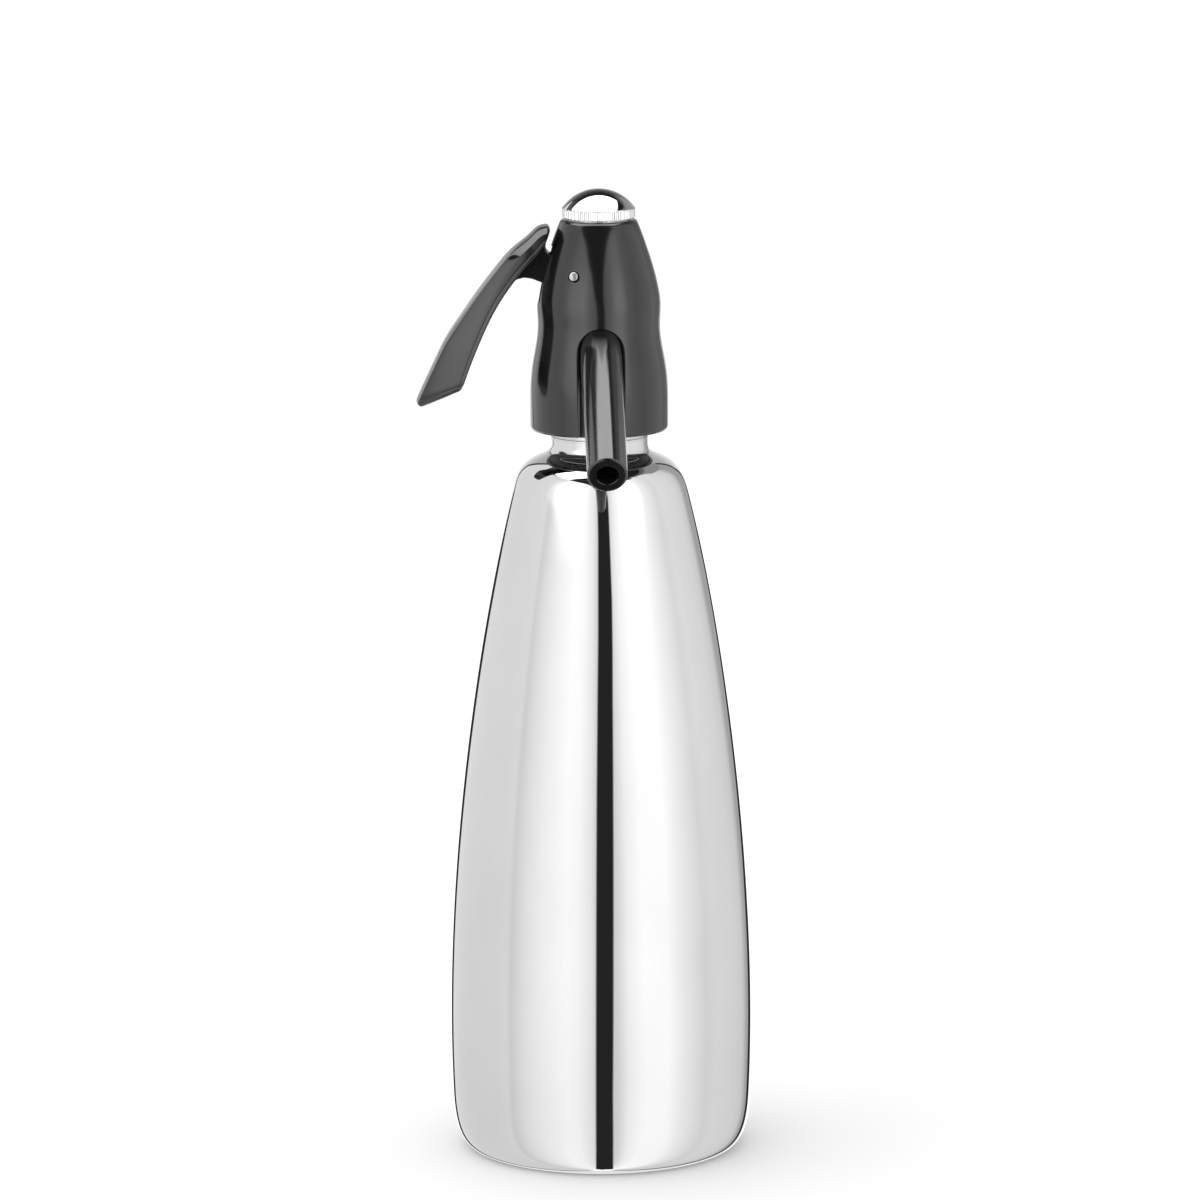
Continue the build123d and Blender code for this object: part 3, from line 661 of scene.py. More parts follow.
def region(builder, outer_poly, holes, step, place, gap):
    """Fills a flat (u, v) region with triangles and maps them on to a surface."""
    lo, hi = outer_poly.min(0), outer_poly.max(0)
    us = np.arange(lo[0] + step / 2, hi[0], step)
    vs = np.arange(lo[1] + step / 2, hi[1], step * 0.87)
    U, V = np.meshgrid(us, vs)
    U = U + (np.arange(len(vs)) % 2)[:, None] * step / 2
    pts = np.c_[U.ravel(), V.ravel()]
    pts = pts[inside(outer_poly, pts) & far_from(outer_poly, pts, gap)]
    for h in holes:
        pts = pts[~inside(h, pts) & far_from(h, pts, gap)]
    loops = [outer_poly] + list(holes)
    verts, edges = [], []
    for lp in loops:
        base = len(verts)
        verts += [Vector(p) for p in lp]
        edges += [(base + i, base + (i + 1) % len(lp)) for i in range(len(lp))]
    nb = len(verts)
    verts += [Vector(p) for p in pts]
    out = delaunay_2d_cdt(verts, edges, [], 0, 1e-7, False)
    co = np.array([tuple(p) for p in out[0]])
    tri = np.array([f for f in out[2] if len(f) == 3])
    mid = co[tri].mean(axis=1)
    keep = inside(outer_poly, mid)
    for h in holes:
        keep &= ~inside(h, mid)
    pos, nrm = place(co)
    builder.add(pos, nrm, tri[keep])


R_REF = 21.5
SEG_H = 168
th_ring = -PI + np.arange(SEG_H + 1) * 2 * PI / SEG_H

# the opening for the spout, seen from the front: straight sides that lean in, round top
ARCH_R, ARCH_Z, FOOT = 7.3, 269.0, 1.3
side_z = np.linspace(242.7, ARCH_Z, 54)
side_x = 6.95 + (ARCH_R - 6.95) * (side_z - 239.0) / (ARCH_Z - 239.0)
top_a = np.linspace(PI, 0, 46)[1:-1]
arch_x = np.r_[-side_x, ARCH_R * np.cos(top_a), side_x[::-1]]
arch_z = np.r_[side_z, ARCH_Z + ARCH_R * np.sin(top_a), side_z[::-1]]
arch_th = np.arcsin(arch_x / hous_r(arch_z))
arch_v = hous_v(arch_z)
# rounded feet, where the sides meet the bottom edge
foot_top_v = arch_v[0]
k = np.linspace(0, 1, 9)[1:]
foot_th0 = arch_th[-1]
v_f, th_f = [], []
for t in k:
    ang = PI + t * PI / 2
    th_f.append(foot_th0 + (FOOT + FOOT * math.cos(ang)) / R_REF)
    v_f.append(foot_top_v + foot_top_v * math.sin(ang))
th_f, v_f = np.array(th_f), np.array(v_f)
v_f[-1] = 0.0
rest = th_ring[(th_ring > th_f[-1] + 0.02) & (th_ring <= PI + 1e-9)]
b_th = np.r_[-rest[::-1], -th_f[::-1], arch_th, th_f, rest]
b_v = np.r_[rest * 0, v_f[::-1], arch_v, v_f, rest * 0]
wf = 1 - np.r_[k]**2 * (3 - 2 * k)
b_w = np.r_[rest * 0, wf[::-1], arch_th * 0 + 1, wf, rest * 0]
b_th[0], b_th[-1] = -PI, PI

EDGE = 0.45
B = Builder()
rim_z = np.interp(b_v, HS, HQ[:, 1])
rim_f = np.clip((rim_z - 265.0) / 10.0, 0, 1)
rim_g = np.clip((rim_z - 241.5) / 9.0, 0, 1)
b_rad = EDGE + 0.6 * rim_g**2 * (3 - 2 * rim_g) * (1 - rim_f**2 * (3 - 2 * rim_f))
rows = edge_rows(b_th, b_v, b_w, b_rad, steps=8, closed=False)
for r in rows:
    r[2][0], r[2][-1] = -PI, PI
B.grid(np.stack([r[0] for r in rows]), np.stack([r[1] for r in rows]))
# inner loop of the same cut
bz = np.interp(b_v, HS, HQ[:, 1])
bx = hous_r(bz) * np.sin(b_th)
lift = np.clip((bz - 262.0) / 9.0, 0, 1)
lift = lift * lift * (3 - 2 * lift)
iz = bz + b_w * lift * 1.25
ir = inner_r(iz)
ith_arch = np.arcsin(np.clip(bx / ir, -1, 1))
ith = np.where(b_w > 0, b_w * ith_arch + (1 - b_w) * b_th, b_th)
iz = np.where(b_w > 0, iz, H_BOTTOM)
inner_loop = np.stack([inner_r(iz) * np.sin(ith), -inner_r(iz) * np.cos(ith), iz], -1)
r_last = rows[-1]
into = r_last[1]
into_b = np.where((b_w > 0)[:, None], into, np.array([[0, 0, -1.0]]))
wall_patch(B, r_last[0], inner_loop, into_b, closed=False)

region_boundary = [np.c_[rows[0][2] * R_REF, rows[0][3]]]
holes, inner_holes = [], []


def cut(outline_pts, axis, side, radius):
    """A closed cut-out seen along an axis: 'x' cuts the -X side, 'y' the front (-1) or the back (+1)."""
    a, z = outline_pts[:, 0], outline_pts[:, 1]
    r = hous_r(z)
    if axis == "x":
        th = np.arctan2(-np.sqrt(r**2 - a**2), -a)
    else:
        th = np.arctan2(a, -side * np.sqrt(r**2 - a**2))
    v = hous_v(z)
    # clockwise, so that the material is on the left
    area = np.sum(th * np.roll(v, -1) - np.roll(th, -1) * v)
    if area > 0:
        th, v, a, z = th[::-1], v[::-1], a[::-1], z[::-1]
    rows = edge_rows(th, v, np.ones_like(th), radius)
    B.grid(np.stack([r[0] for r in rows]), np.stack([r[1] for r in rows]), wrap=True)
    top = rows[-1][0]
    # straight in along the cutting direction to the inner surface
    zz = top[:, 2]
    ri = inner_r(zz)
    if axis == "x":
        bottom = np.stack([-np.sqrt(ri**2 - top[:, 1]**2), top[:, 1], zz], -1)
    else:
        bottom = np.stack([top[:, 0], side * np.sqrt(ri**2 - top[:, 0]**2), zz], -1)
    wall_patch(B, top, bottom, rows[-1][1], closed=True)
    holes.append(np.c_[rows[0][2] * R_REF, rows[0][3]])
    inner_holes.append(np.c_[np.arctan2(bottom[:, 0], -bottom[:, 1]) * R_REF, bottom[:, 2]])


def rounded_rect(hw, z0, z1, rad, n=8, step=0.6):
    pts = []
    for cx, cz, a0 in ((hw - rad, z1 - rad, 0), (-hw + rad, z1 - rad, 90), (-hw + rad, z0 + rad, 180), (hw - rad, z0 + rad, 270)):
        for t in np.linspace(0, 90, n + 1):
            a = math.radians(a0 + t)
            pts.append((cx + rad * math.cos(a), cz + rad * math.sin(a)))
    dense = []
    for p, q in zip(pts, pts[1:] + pts[:1]):
        m = max(1, int(math.ceil(math.dist(p, q) / step)))
        for i in range(m):
            dense.append((p[0] + (q[0] - p[0]) * i / m, p[1] + (q[1] - p[1]) * i / m))
    return np.array(dense)


cut(rounded_rect(5.0, 282.5, 301.4, 2.4), "x", 0, 0.5)
ca = np.arange(40) * 2 * PI / 40
pin_ring = np.c_[-8.6 + 1.8 * np.cos(ca), 293.2 + 1.8 * np.sin(ca)]
cut(pin_ring, "y", -1, 0.22)
cut(pin_ring, "y", 1, 0.22)


def seam(v0, v1, step):
    n = max(2, int(round((v1 - v0) / step)))
    return np.linspace(v0, v1, n + 1)[1:-1]


def outer_place(co):
    p, n, *_ = frame_at(co[:, 0] / R_REF, co[:, 1])
    return p, n


sv = seam(EDGE, H_LEN, 0.95)
poly = np.vstack([region_boundary[0],
                  np.c_[np.full(len(sv), PI * R_REF), sv],
                  np.c_[th_ring[::-1] * R_REF, np.full(len(th_ring), H_LEN)],
                  np.c_[np.full(len(sv), -PI * R_REF), sv[::-1]]])
region(B, poly, holes, 0.95, outer_place, 0.5)

IN_TOP = 303.5


def inner_place(co):
    th, z = co[:, 0] / R_REF, co[:, 1]
    r = inner_r(z)
    dr = (inner_r(z + 0.2) - inner_r(z - 0.2)) / 0.4
    s, c = np.sin(th), np.cos(th)
    return np.stack([r * s, -r * c, z], -1), -np.stack([s, -c, -dr], -1)


sv = seam(H_BOTTOM, IN_TOP, 1.9)
poly = np.vstack([np.c_[ith * R_REF, iz],
                  np.c_[np.full(len(sv), PI * R_REF), sv],
                  np.c_[th_ring[::-1] * R_REF, np.full(len(th_ring), IN_TOP)],
                  np.c_[np.full(len(sv), -PI * R_REF), sv[::-1]]])
region(B, poly, inner_holes, 1.9, inner_place, 0.8)

rin = float(inner_r(IN_TOP))
top_strips = [strip(*H_top)]
top_strips += outline([(11.5, 310.1), (8.6, 310.1, 0.3), (8.6, 307.9), (11.1, 307.9, 0.4), (rin - 0.3, 305.0, 0.5), (rin, IN_TOP)], closed=False)
lathe(B, top_strips, SEG_H, start=-PI / 2 - PI)
put(B.build("head_housing_moulded"), "head", MAT["black_gloss"], ["head_housing"])

# -------------------------------------------------------------------- spout
DROP = math.radians(27.3)
s_dir = np.array([0, -math.cos(DROP), -math.sin(DROP)])
s_side = np.array([1.0, 0, 0])
s_up = np.cross(s_dir, s_side)
SP = (np.array([0, 0, 278.95]), np.stack([s_side, s_up, s_dir], 1))
B = Builder()
sec = outline([(2.4, 10.0), (4.4, 10.0, 0.25), (4.4, 12.0), (3.5, 12.0), (3.5, 13.6), (4.4, 13.6), (4.4, 16.0), (6.76, 16.0, 0.5), (6.70, 38.0),
               (6.65, 60.0), (6.50, 89.26, 0.75), (3.62, 89.26), (3.5, 89.1), (3.5, 24.0), (2.4, 23.3), (2.4, 10.0)], closed=False, arc=7)
lathe(B, sec, 120, place=SP)
put(B.build("spout_tube_moulded"), "head", MAT["black_gloss"], ["spout_tube"])

# -------------------------------------------------------------------- lever
L_OUT = [(-17.6, 308.4), (-19.3, 308.0), (-22.4, 305.5), (-27.3, 301.4), (-33.6, 294.3), (-39.8, 286.3),
         (-45.4, 278.4), (-50.6, 270.6), (-54.6, 262.6), (-57.6, 256.3), (-59.7, 251.7)]
L_IN = [(-17.5, 303.0), (-19.6, 300.2), (-24.4, 294.9), (-28.4, 290.0), (-31.6, 285.5), (-35.1, 279.6),
        (-38.8, 271.8), (-42.1, 263.8), (-44.5, 257.2)]
NOSE_O = [(-15.9, 307.0), (-15.92, 307.4), (-16.06, 307.8), (-16.35, 308.15), (-16.75, 308.36), (-17.15, 308.44)]
NOSE_I = [(-17.42, 302.9), (-17.44, 302.92), (-17.46, 302.94), (-17.47, 302.96), (-17.48, 302.98), (-17.49, 302.99)]
TIP_O = [(-59.86, 251.3), (-59.99, 250.75), (-59.9, 250.2), (-59.62, 249.74), (-59.2, 249.42), (-58.75, 249.28)]
TIP_I = [(-44.8, 256.65), (-45.1, 256.1), (-45.4, 255.6), (-45.62, 255.25), (-45.78, 255.0), (-45.85, 254.9)]
N_ST = 150
oq, _ = natural_spline(L_OUT, count=N_ST)
iq, _ = natural_spline(L_IN, count=N_ST)


def half_width(x):
    return np.interp(-x, [14.0, 22.0, 34.0, 46.0, 57.0, 62.0], [7.6, 8.2, 9.45, 10.55, 10.95, 11.0])


def smooth(x, lo, hi):
    f = np.clip((x - lo) / (hi - lo), 0, 1)
    return float(f * f * (3 - 2 * f))


def lever_section(w, L, c, u, lip, wall=2.2):
    """(y, q) of one cross-section, from the middle of the underside round to the crown; q runs from the
    lip's edge to the crown. c is how open the hollow is, u is 0 near the head and 1 along the grip."""
    pts = []
    roof = max(L - 2.4, 1.2)
    yc = w - wall
    nh = 14
    for i in range(nh):
        f = i / (nh - 1)
        ang = f * PI / 2
        yy = yc * (math.sin(ang))**0.55 if i else 0.0
        qq = roof * (math.cos(ang))**0.55 if i < nh - 1 else 0.0
        pts.append((yc * f * (1 - c) + yy * c, qq * c))
    rl = 0.4
    for a in np.linspace(90, 0, 7):
        pts.append((w - rl + rl * math.cos(math.radians(a)), rl - rl * math.sin(math.radians(a))))
    lean = math.tan(math.radians(8))
    y1 = w - lean * (lip - rl)
    pts.append((w - lean * 0.5 * (lip - rl), 0.5 * (lip + rl)))
    pts.append((y1, lip - 0.06))
    pts.append((y1 - 0.13, lip + 0.02))
    pts.append((y1 - 0.13, lip + 0.14))
    y0, q0 = y1 - 0.02, lip + 0.26
    H = L - q0
    # near the head: upright side, sloping facet, low crown
    t4, t50 = math.tan(math.radians(4)), math.tan(math.radians(47))
    a1 = (y0 - t4 * 0.43 * H, q0 + 0.43 * H)
    a2 = (a1[0] - t50 * 0.37 * H, a1[1] + 0.37 * H)
    top = [(y0 + (a1[0] - y0) * k / 6, q0 + (a1[1] - q0) * k / 6) for k in range(7)]
    top += [(a1[0] + (a2[0] - a1[0]) * k / 6, a1[1] + (a2[1] - a1[1]) * k / 6) for k in range(1, 7)]
    crown, _ = bezier(a2, (a2[0] - 0.07 * a2[0], a2[1] + 0.75 * (L - a2[1])), (a2[0] * 0.62, L), (0.0, L), 19)
    top += [tuple(p) for p in crown[1:]]
    # along the grip: one side that leans in more and more, a tight edge and a low crown
    bot, yb = [], y0
    for k in range(13):
        f = k / 12
        if k:
            yb -= math.tan(math.radians(3 + 19 * (f - 0.5 / 12))) * 0.92 * H / 12
        bot.append((yb, q0 + f * 0.92 * H))
    b2 = bot[-1]
    crown, _ = bezier(b2, (b2[0] - 0.42 * 0.05 * H, b2[1] + 0.05 * H), (b2[0] * 0.80, L - 0.008 * H), (0.0, L), 19)
    bot += [tuple(p) for p in crown[1:]]
    pts += [(a[0] * (1 - u) + b[0] * u, a[1] * (1 - u) + b[1] * u) for a, b in zip(top, bot)]
    return pts


def station(O, I, w, c, u):
    O, I = np.asarray(O, float), np.asarray(I, float)
    L = float(np.linalg.norm(O - I))
    d = (O - I) / L
    half = lever_section(w, L, c, u, lip=min(1.65, 0.26 * L))
    full = half + [(-y, q) for y, q in half[-2:0:-1]]
    return [(I[0] + d[0] * q, y, I[1] + d[1] * q) for y, q in full]


sections = []
for k, (O, I) in enumerate(zip(NOSE_O, NOSE_I)):
    psi = (len(NOSE_O) - k) / len(NOSE_O) * PI / 2
    sections.append(station(O, I, 7.75 - 1.3 * (1 - math.cos(psi)), 0.0, 0.0))
for i in range(N_ST):
    t = i / (N_ST - 1)
    O, I = oq[i], iq[i]
    w = float(half_width((O[0] + I[0]) / 2))
    w -= 0.5 * (1 - math.sqrt(1 - (1 - np.clip((1 - t) / 0.03, 0, 1))**2))
    c = smooth(t, 0.10, 0.14) * (1 - smooth(t, 0.925, 0.95))
    sections.append(station(O, I, w, c, smooth(t, 0.125, 0.24)))
for k, (O, I) in enumerate(zip(TIP_O, TIP_I)):
    psi = (k + 1) / len(TIP_O) * PI / 2
    sections.append(station(O, I, 10.95 - 0.5 - 1.9 * (1 - math.cos(psi)), 0.0, 1.0))
S = np.array(sections)
nr, nc = S.shape[:2]
verts = S.reshape(-1, 3)
faces = []
for i in range(nr - 1):
    for j in range(nc):
        faces.append((i * nc + j, i * nc + (j + 1) % nc, (i + 1) * nc + (j + 1) % nc, (i + 1) * nc + j))
faces.append(tuple(range(nc)))
faces.append(tuple((nr - 1) * nc + j for j in range(nc - 1, -1, -1)))


def plain_mesh(name, verts, faces, weld=2e-5):
    me = bpy.data.meshes.new(name)
    me.from_pydata([tuple(c * MM for c in p) for p in verts], [], faces)
    bm = bmesh.new()
    bm.from_mesh(me)
    bmesh.ops.remove_doubles(bm, verts=bm.verts, dist=weld * 1.0)
    bmesh.ops.dissolve_degenerate(bm, edges=bm.edges, dist=1e-7)
    bmesh.ops.recalc_face_normals(bm, faces=bm.faces)
    bm.to_mesh(me)
    bm.free()
    ob = bpy.data.objects.new(name, me)
    SCENE.collection.objects.link(ob)
    return ob


handle = plain_mesh("lever_moulded", verts, faces)

# web with the pivot boss and the two-pronged finger
W_TOP = [(-17.1, 304.4), (-17.45, 301.7), (-17.0, 300.0), (-15.6, 298.95), (-13.0, 298.2), (-8.6, 297.6), (-5.8, 295.8), (-4.9, 292.8), (-3.5, 291.2),
         (0.4, 291.1), (2.6, 290.6), (3.9, 289.4), (3.4, 288.3), (1.0, 288.0), (-10.0, 288.0), (-14.5, 288.4), (-17.0, 289.15),
         (-19.1, 290.0), (-22.0, 291.2), (-24.6, 291.6), (-26.9, 291.0), (-28.8, 289.4), (-31.0, 286.0), (-33.5, 281.8), (-36.5, 282.6), (-33.0, 290.0),
         (-24.0, 300.8), (-19.5, 305.2)]


def extruded(name, poly, half, bevel, segs=3, draft=None):
    n = len(poly)
    v = [(x, -half, z) for x, z in poly] + [(x, half, z) for x, z in poly]
    f = [tuple(range(n)), tuple(range(2 * n - 1, n - 1, -1))]
    f += [(i, n + i, n + (i + 1) % n, (i + 1) % n) for i in range(n)]
    me = bpy.data.meshes.new(name)
    me.from_pydata([tuple(c * MM for c in p) for p in v], [], f)
    bm = bmesh.new()
    bm.from_mesh(me)
    bmesh.ops.recalc_face_normals(bm, faces=bm.faces)
    rim = [e for e in bm.edges if abs(e.verts[0].co.y - e.verts[1].co.y) < 1e-9]
    if bevel:
        bmesh.ops.bevel(bm, geom=rim, offset=bevel * MM, segments=segs, profile=0.5, affect="EDGES", clamp_overlap=True)
    if draft:
        # the sides flare beyond x, away from the head
        x0, slope = draft
        bmesh.ops.bisect_plane(bm, geom=bm.verts[:] + bm.edges[:] + bm.faces[:], plane_co=(x0 * MM, 0, 0), plane_no=(1, 0, 0))
        for v in bm.verts:
            if v.co.x < x0 * MM:
                v.co.y += math.copysign((x0 * MM - v.co.x) * slope, v.co.y)
    bm.to_mesh(me)
    bm.free()
    ob = bpy.data.objects.new(name, me)
    SCENE.collection.objects.link(ob)
    return ob


web = extruded("lever_web", W_TOP, 4.3, 0.5, draft=(-13.6, 0.073))


def boolean(ob, other, op):
    m = ob.modifiers.new("cut", "BOOLEAN")
    m.operation = op
    m.object = other
    m.solver = "EXACT"
    dg = bpy.context.evaluated_depsgraph_get()
    me = bpy.data.meshes.new_from_object(ob.evaluated_get(dg))
    ob.modifiers.clear()
    old = ob.data
    ob.data = me
    bpy.data.meshes.remove(old)
    bpy.data.objects.remove(other)


def cutter(name, verts, faces):
    return plain_mesh(name, verts, faces)


a = np.arange(48) * 2 * PI / 48
cv = [(-8.6 + 1.56 * math.cos(x), -12.0, 293.2 + 1.56 * math.sin(x)) for x in a] + [(-8.6 + 1.56 * math.cos(x), 12.0, 293.2 + 1.56 * math.sin(x)) for x in a]
cf = [tuple(range(48)), tuple(range(95, 47, -1))] + [(i, 48 + i, 48 + (i + 1) % 48, (i + 1) % 48) for i in range(48)]
boolean(web, cutter("cut_pin", cv, cf), "DIFFERENCE")
bx0, bx1, by, bz0, bz1 = -3.6, 10.0, 1.95, 286.0, 296.0
bv = [(x, y, z) for x in (bx0, bx1) for y in (-by, by) for z in (bz0, bz1)]
bf = [(0, 1, 3, 2), (4, 6, 7, 5), (0, 4, 5, 1), (2, 3, 7, 6), (0, 2, 6, 4), (1, 5, 7, 3)]
boolean(web, cutter("cut_fork", bv, bf), "DIFFERENCE")
boolean(handle, web, "UNION")
me = handle.data
me.polygons.foreach_set("use_smooth", [True] * len(me.polygons))
me.set_sharp_from_angle(angle=math.radians(22))
weigh = handle.modifiers.new("weigh", "WEIGHTED_NORMAL")
weigh.mode = "FACE_AREA"
weigh.weight = 60
weigh.keep_sharp = True
me = bpy.data.meshes.new_from_object(handle.evaluated_get(bpy.context.evaluated_depsgraph_get()))
handle.modifiers.clear()
old = handle.data
handle.data = me
bpy.data.meshes.remove(old)
handle.name = "lever_moulded"
put(handle, "lever", MAT["black_gloss"], ["lever"])

# ---------------------------------------------------------------- pivot pin
B = Builder()
PIN = 32.1
e_a = np.linspace(0, 1, 7) * math.radians(8.0)
cap0 = (np.c_[7.6 * np.sin(e_a), 7.6 * (1 - np.cos(e_a))], np.c_[np.sin(e_a), -np.cos(e_a)])
r_c, z_c = float(cap0[0][-1, 0]), float(cap0[0][-1, 1])
sec = [cap0] + outline([(r_c, z_c), (1.5, z_c + 0.0, 0.35), (1.5, PIN - z_c, 0.35), (r_c, PIN - z_c)], closed=False, arc=6)
sec.append((np.c_[cap0[0][::-1, 0], PIN - cap0[0][::-1, 1]], np.c_[cap0[1][::-1, 0], -cap0[1][::-1, 1]]))
lathe(B, sec, 48, place=(np.array([-8.6, -PIN / 2, 293.2]), np.array([[1.0, 0, 0], [0, 0, 1.0], [0, -1.0, 0]])))
put(B.build("pivot_pin_turned"), "head", MAT["plain_steel"], ["pivot_pin"])

# ------------------------------------------------------------------ top cap
B = Builder()
DOME_R, DOME_C, CAP_R, KN = 14.6, 305.5, 12.0, 48
SEG_C = KN * 8
a = np.arange(SEG_C) * 2 * PI / SEG_C


def knurl(a):
    """Rounded ridges with narrow grooves between them, 0 in a groove and 1 on a ridge."""
    ph = (a * KN / (2 * PI)) % 1.0
    d = np.abs(ph - 0.5) * 2
    k = np.floor(a * KN / (2 * PI) + 0.5) % KN
    deep = 0.86 + 0.14 * np.sin(k * 2.39)
    return 1 - deep * np.clip((d - 0.14) / 0.86, 0, 1)**1.5


zs = np.r_[310.82, 310.92, 311.06, 311.3, 311.8, 312.4, 313.1, 313.5, 313.75, 313.9]
amp = np.r_[0.05, 0.30, 0.75, 1, 1, 1, 1, 0.8, 0.35, 0.0]
base = np.r_[-0.16, -0.06, -0.01, 0, 0, 0, 0, 0, 0, 0]
K = knurl(a)
R = CAP_R + base[:, None] - 0.50 * amp[:, None] * (1 - K)[None]
Z = np.repeat(zs[:, None], SEG_C, 1)
pos = np.stack([R * np.cos(a), R * np.sin(a), Z], -1)
nrm = np.cross(np.roll(pos, -1, 1) - np.roll(pos, 1, 1), np.gradient(pos, axis=0))
B.grid(pos, nrm, wrap=True)
# bottom face from the knurled rim inwards
Rb = R[0]
mid = np.full(SEG_C, 11.5)
for r0, z0, r1, z1 in ((Rb, 310.82, mid, 310.8),):
    pos = np.stack([np.stack([r0 * np.cos(a), r0 * np.sin(a), np.full(SEG_C, z0)], -1),
                    np.stack([r1 * np.cos(a), r1 * np.sin(a), np.full(SEG_C, z1)], -1)])
    B.grid(pos, np.broadcast_to(np.array([0, 0, -1.0]), pos.shape), wrap=True)
b0 = math.asin((314.1 - DOME_C) / DOME_R)
ang = np.linspace(b0, PI / 2, 60)
dome = (np.c_[DOME_R * np.cos(ang), DOME_C + DOME_R * np.sin(ang)], np.c_[np.cos(ang), np.sin(ang)])
dome[0][-1, 0] = 0.0
sec = outline([(12.0, 313.9), (12.0, 313.96), (11.92, 314.1, 0.05), (float(dome[0][0, 0]), 314.1)], closed=False)
sec.append(dome)
sec += outline([(0.0, 317.0), (7.85, 317.0, 0.3), (7.85, 312.5, 0.2), (10.7, 312.5, 0.3), (10.7, 310.8, 0.15), (11.5, 310.8)], closed=False)
lathe(B, sec, SEG_C)
put(B.build("top_cap_chrome"), "cap", MAT["cap_chrome"], ["top_cap"])

# -------------------------------------------------------------------- floor
floor_half, nf = 3.0, 2
me = bpy.data.meshes.new("studio_floor")
zf = -0.0002
me.from_pydata([(-floor_half, -floor_half, zf), (floor_half, -floor_half, zf), (floor_half, floor_half, zf), (-floor_half, floor_half, zf)], [], [(0, 1, 2, 3)])
floor = bpy.data.objects.new("studio_floor", me)
SCENE.collection.objects.link(floor)
mf = bpy.data.materials.new("studio_floor")
mf.use_nodes = True
gf = Graph(mf.node_tree)
bf_ = mf.node_tree.nodes["Principled BSDF"]
bf_.inputs["Roughness"].default_value = 0.7
bf_.inputs["Specular IOR Level"].default_value = 0.1
tf = gf.node("ShaderNodeTexCoord")
gf.link(gf.ramp(gf.noise(tf.outputs["Object"], 6.0, 3.0), [(0.3, (0.70, 0.70, 0.70)), (0.7, (0.72, 0.72, 0.72))]), bf_.inputs["Base Color"])
me.materials.append(mf)
floor.visible_glossy = False

# ------------------------------------------------------------------- camera
AZ, PITCH, ROLL, DIST, CAM_Z = math.radians(1.8), math.radians(10.21), math.radians(-0.22), 2.2, 0.580
right = Vector((math.cos(AZ), -math.sin(AZ), 0))
fwd = Vector((math.sin(AZ) * math.cos(PITCH), math.cos(AZ) * math.cos(PITCH), -math.sin(PITCH)))
up = right.cross(fwd)
right2 = right * math.cos(ROLL) + up * math.sin(ROLL)
up2 = up * math.cos(ROLL) - right * math.sin(ROLL)
cam_data = bpy.data.cameras.new("camera")
cam_data.lens = 203.4
cam_data.sensor_width = 36.0
cam_data.clip_end = 50.0
cam = bpy.data.objects.new("camera", cam_data)
SCENE.collection.objects.link(cam)
rot = Matrix((right2, up2, -fwd)).transposed()
cam.matrix_world = Matrix.Translation(Vector((-DIST * math.sin(AZ), -DIST * math.cos(AZ), CAM_Z))) @ rot.to_4x4()
SCENE.camera = cam

# -------------------------------------------------------------------- light
TENT_R = 0.140


def on_tent(theta, r=48.5):
    """Angle round the tent that a vertical mirror wall of radius r shows in the direction theta (degrees)."""
    t = math.radians(theta)
    p = np.array([math.sin(t / 2), math.cos(t / 2)]) * r
    d = np.array([math.sin(t), math.cos(t)])
    R = TENT_R / MM
    q = p + d * (-(p @ d) + math.sqrt((p @ d)**2 - r * r + R * R))
    return math.degrees(math.atan2(q[0], q[1]))


def emission(name, build):
    m = bpy.data.materials.new(name)
    m.use_nodes = True
    m.node_tree.nodes.clear()
    g = Graph(m.node_tree)
    tex = g.node("ShaderNodeTexCoord")
    value = build(g, tex.outputs["Object"])
    em = g.node("ShaderNodeEmission")
    com = g.node("ShaderNodeCombineXYZ")
    for i in range(3):
        g.link(value, com.inputs[i])
    g.link(com.outputs[0], em.inputs["Color"])
    em.inputs["Strength"].default_value = 1.0
    out = g.node("ShaderNodeOutputMaterial")
    g.link(em.outputs[0], out.inputs["Surface"])
    return m


def card_object(name, verts, faces, mat):
    me = bpy.data.meshes.new(name)
    me.from_pydata(verts, [], faces)
    me.materials.append(mat)
    ob = bpy.data.objects.new(name, me)
    SCENE.collection.objects.link(ob)
    for ray in ("camera", "diffuse", "transmission", "volume_scatter", "shadow"):
        setattr(ob, "visible_" + ray, False)
    return ob


# the tent's wall is lit from both sides of the slot and falls off towards the back; angles are the
# directions in which the bottle's wall shows it
SIDES = [(-180, 1.0), (-90, 1.07), (-79, 1.10), (-75, 0.98), (-64, 1.2), (-50, 1.4), (-30, 1.6), (-20, 1.55), (-10, 1.3),
         (-5, 1.0), (0, 1.0), (9.5, 1.05), (18, 1.43), (30, 1.64), (50, 1.64), (62, 1.4), (84, 1.07), (95, 1.12),
         (120, 1.04), (135, 0.9), (145, 0.5), (180, 0.4)]
# how much brighter the wall is beside the slot, at each height (mm)
HOT = [(0, 0.0), (222, 0.0), (238, 0.30), (250, 0.70), (258, 0.75), (290, 1.05), (310, 1.0), (335, 0.85), (358, 0.35), (380, 0.2), (450, 0.2)]
SIDE_PHI = [(on_tent(a), v) for a, v in SIDES]
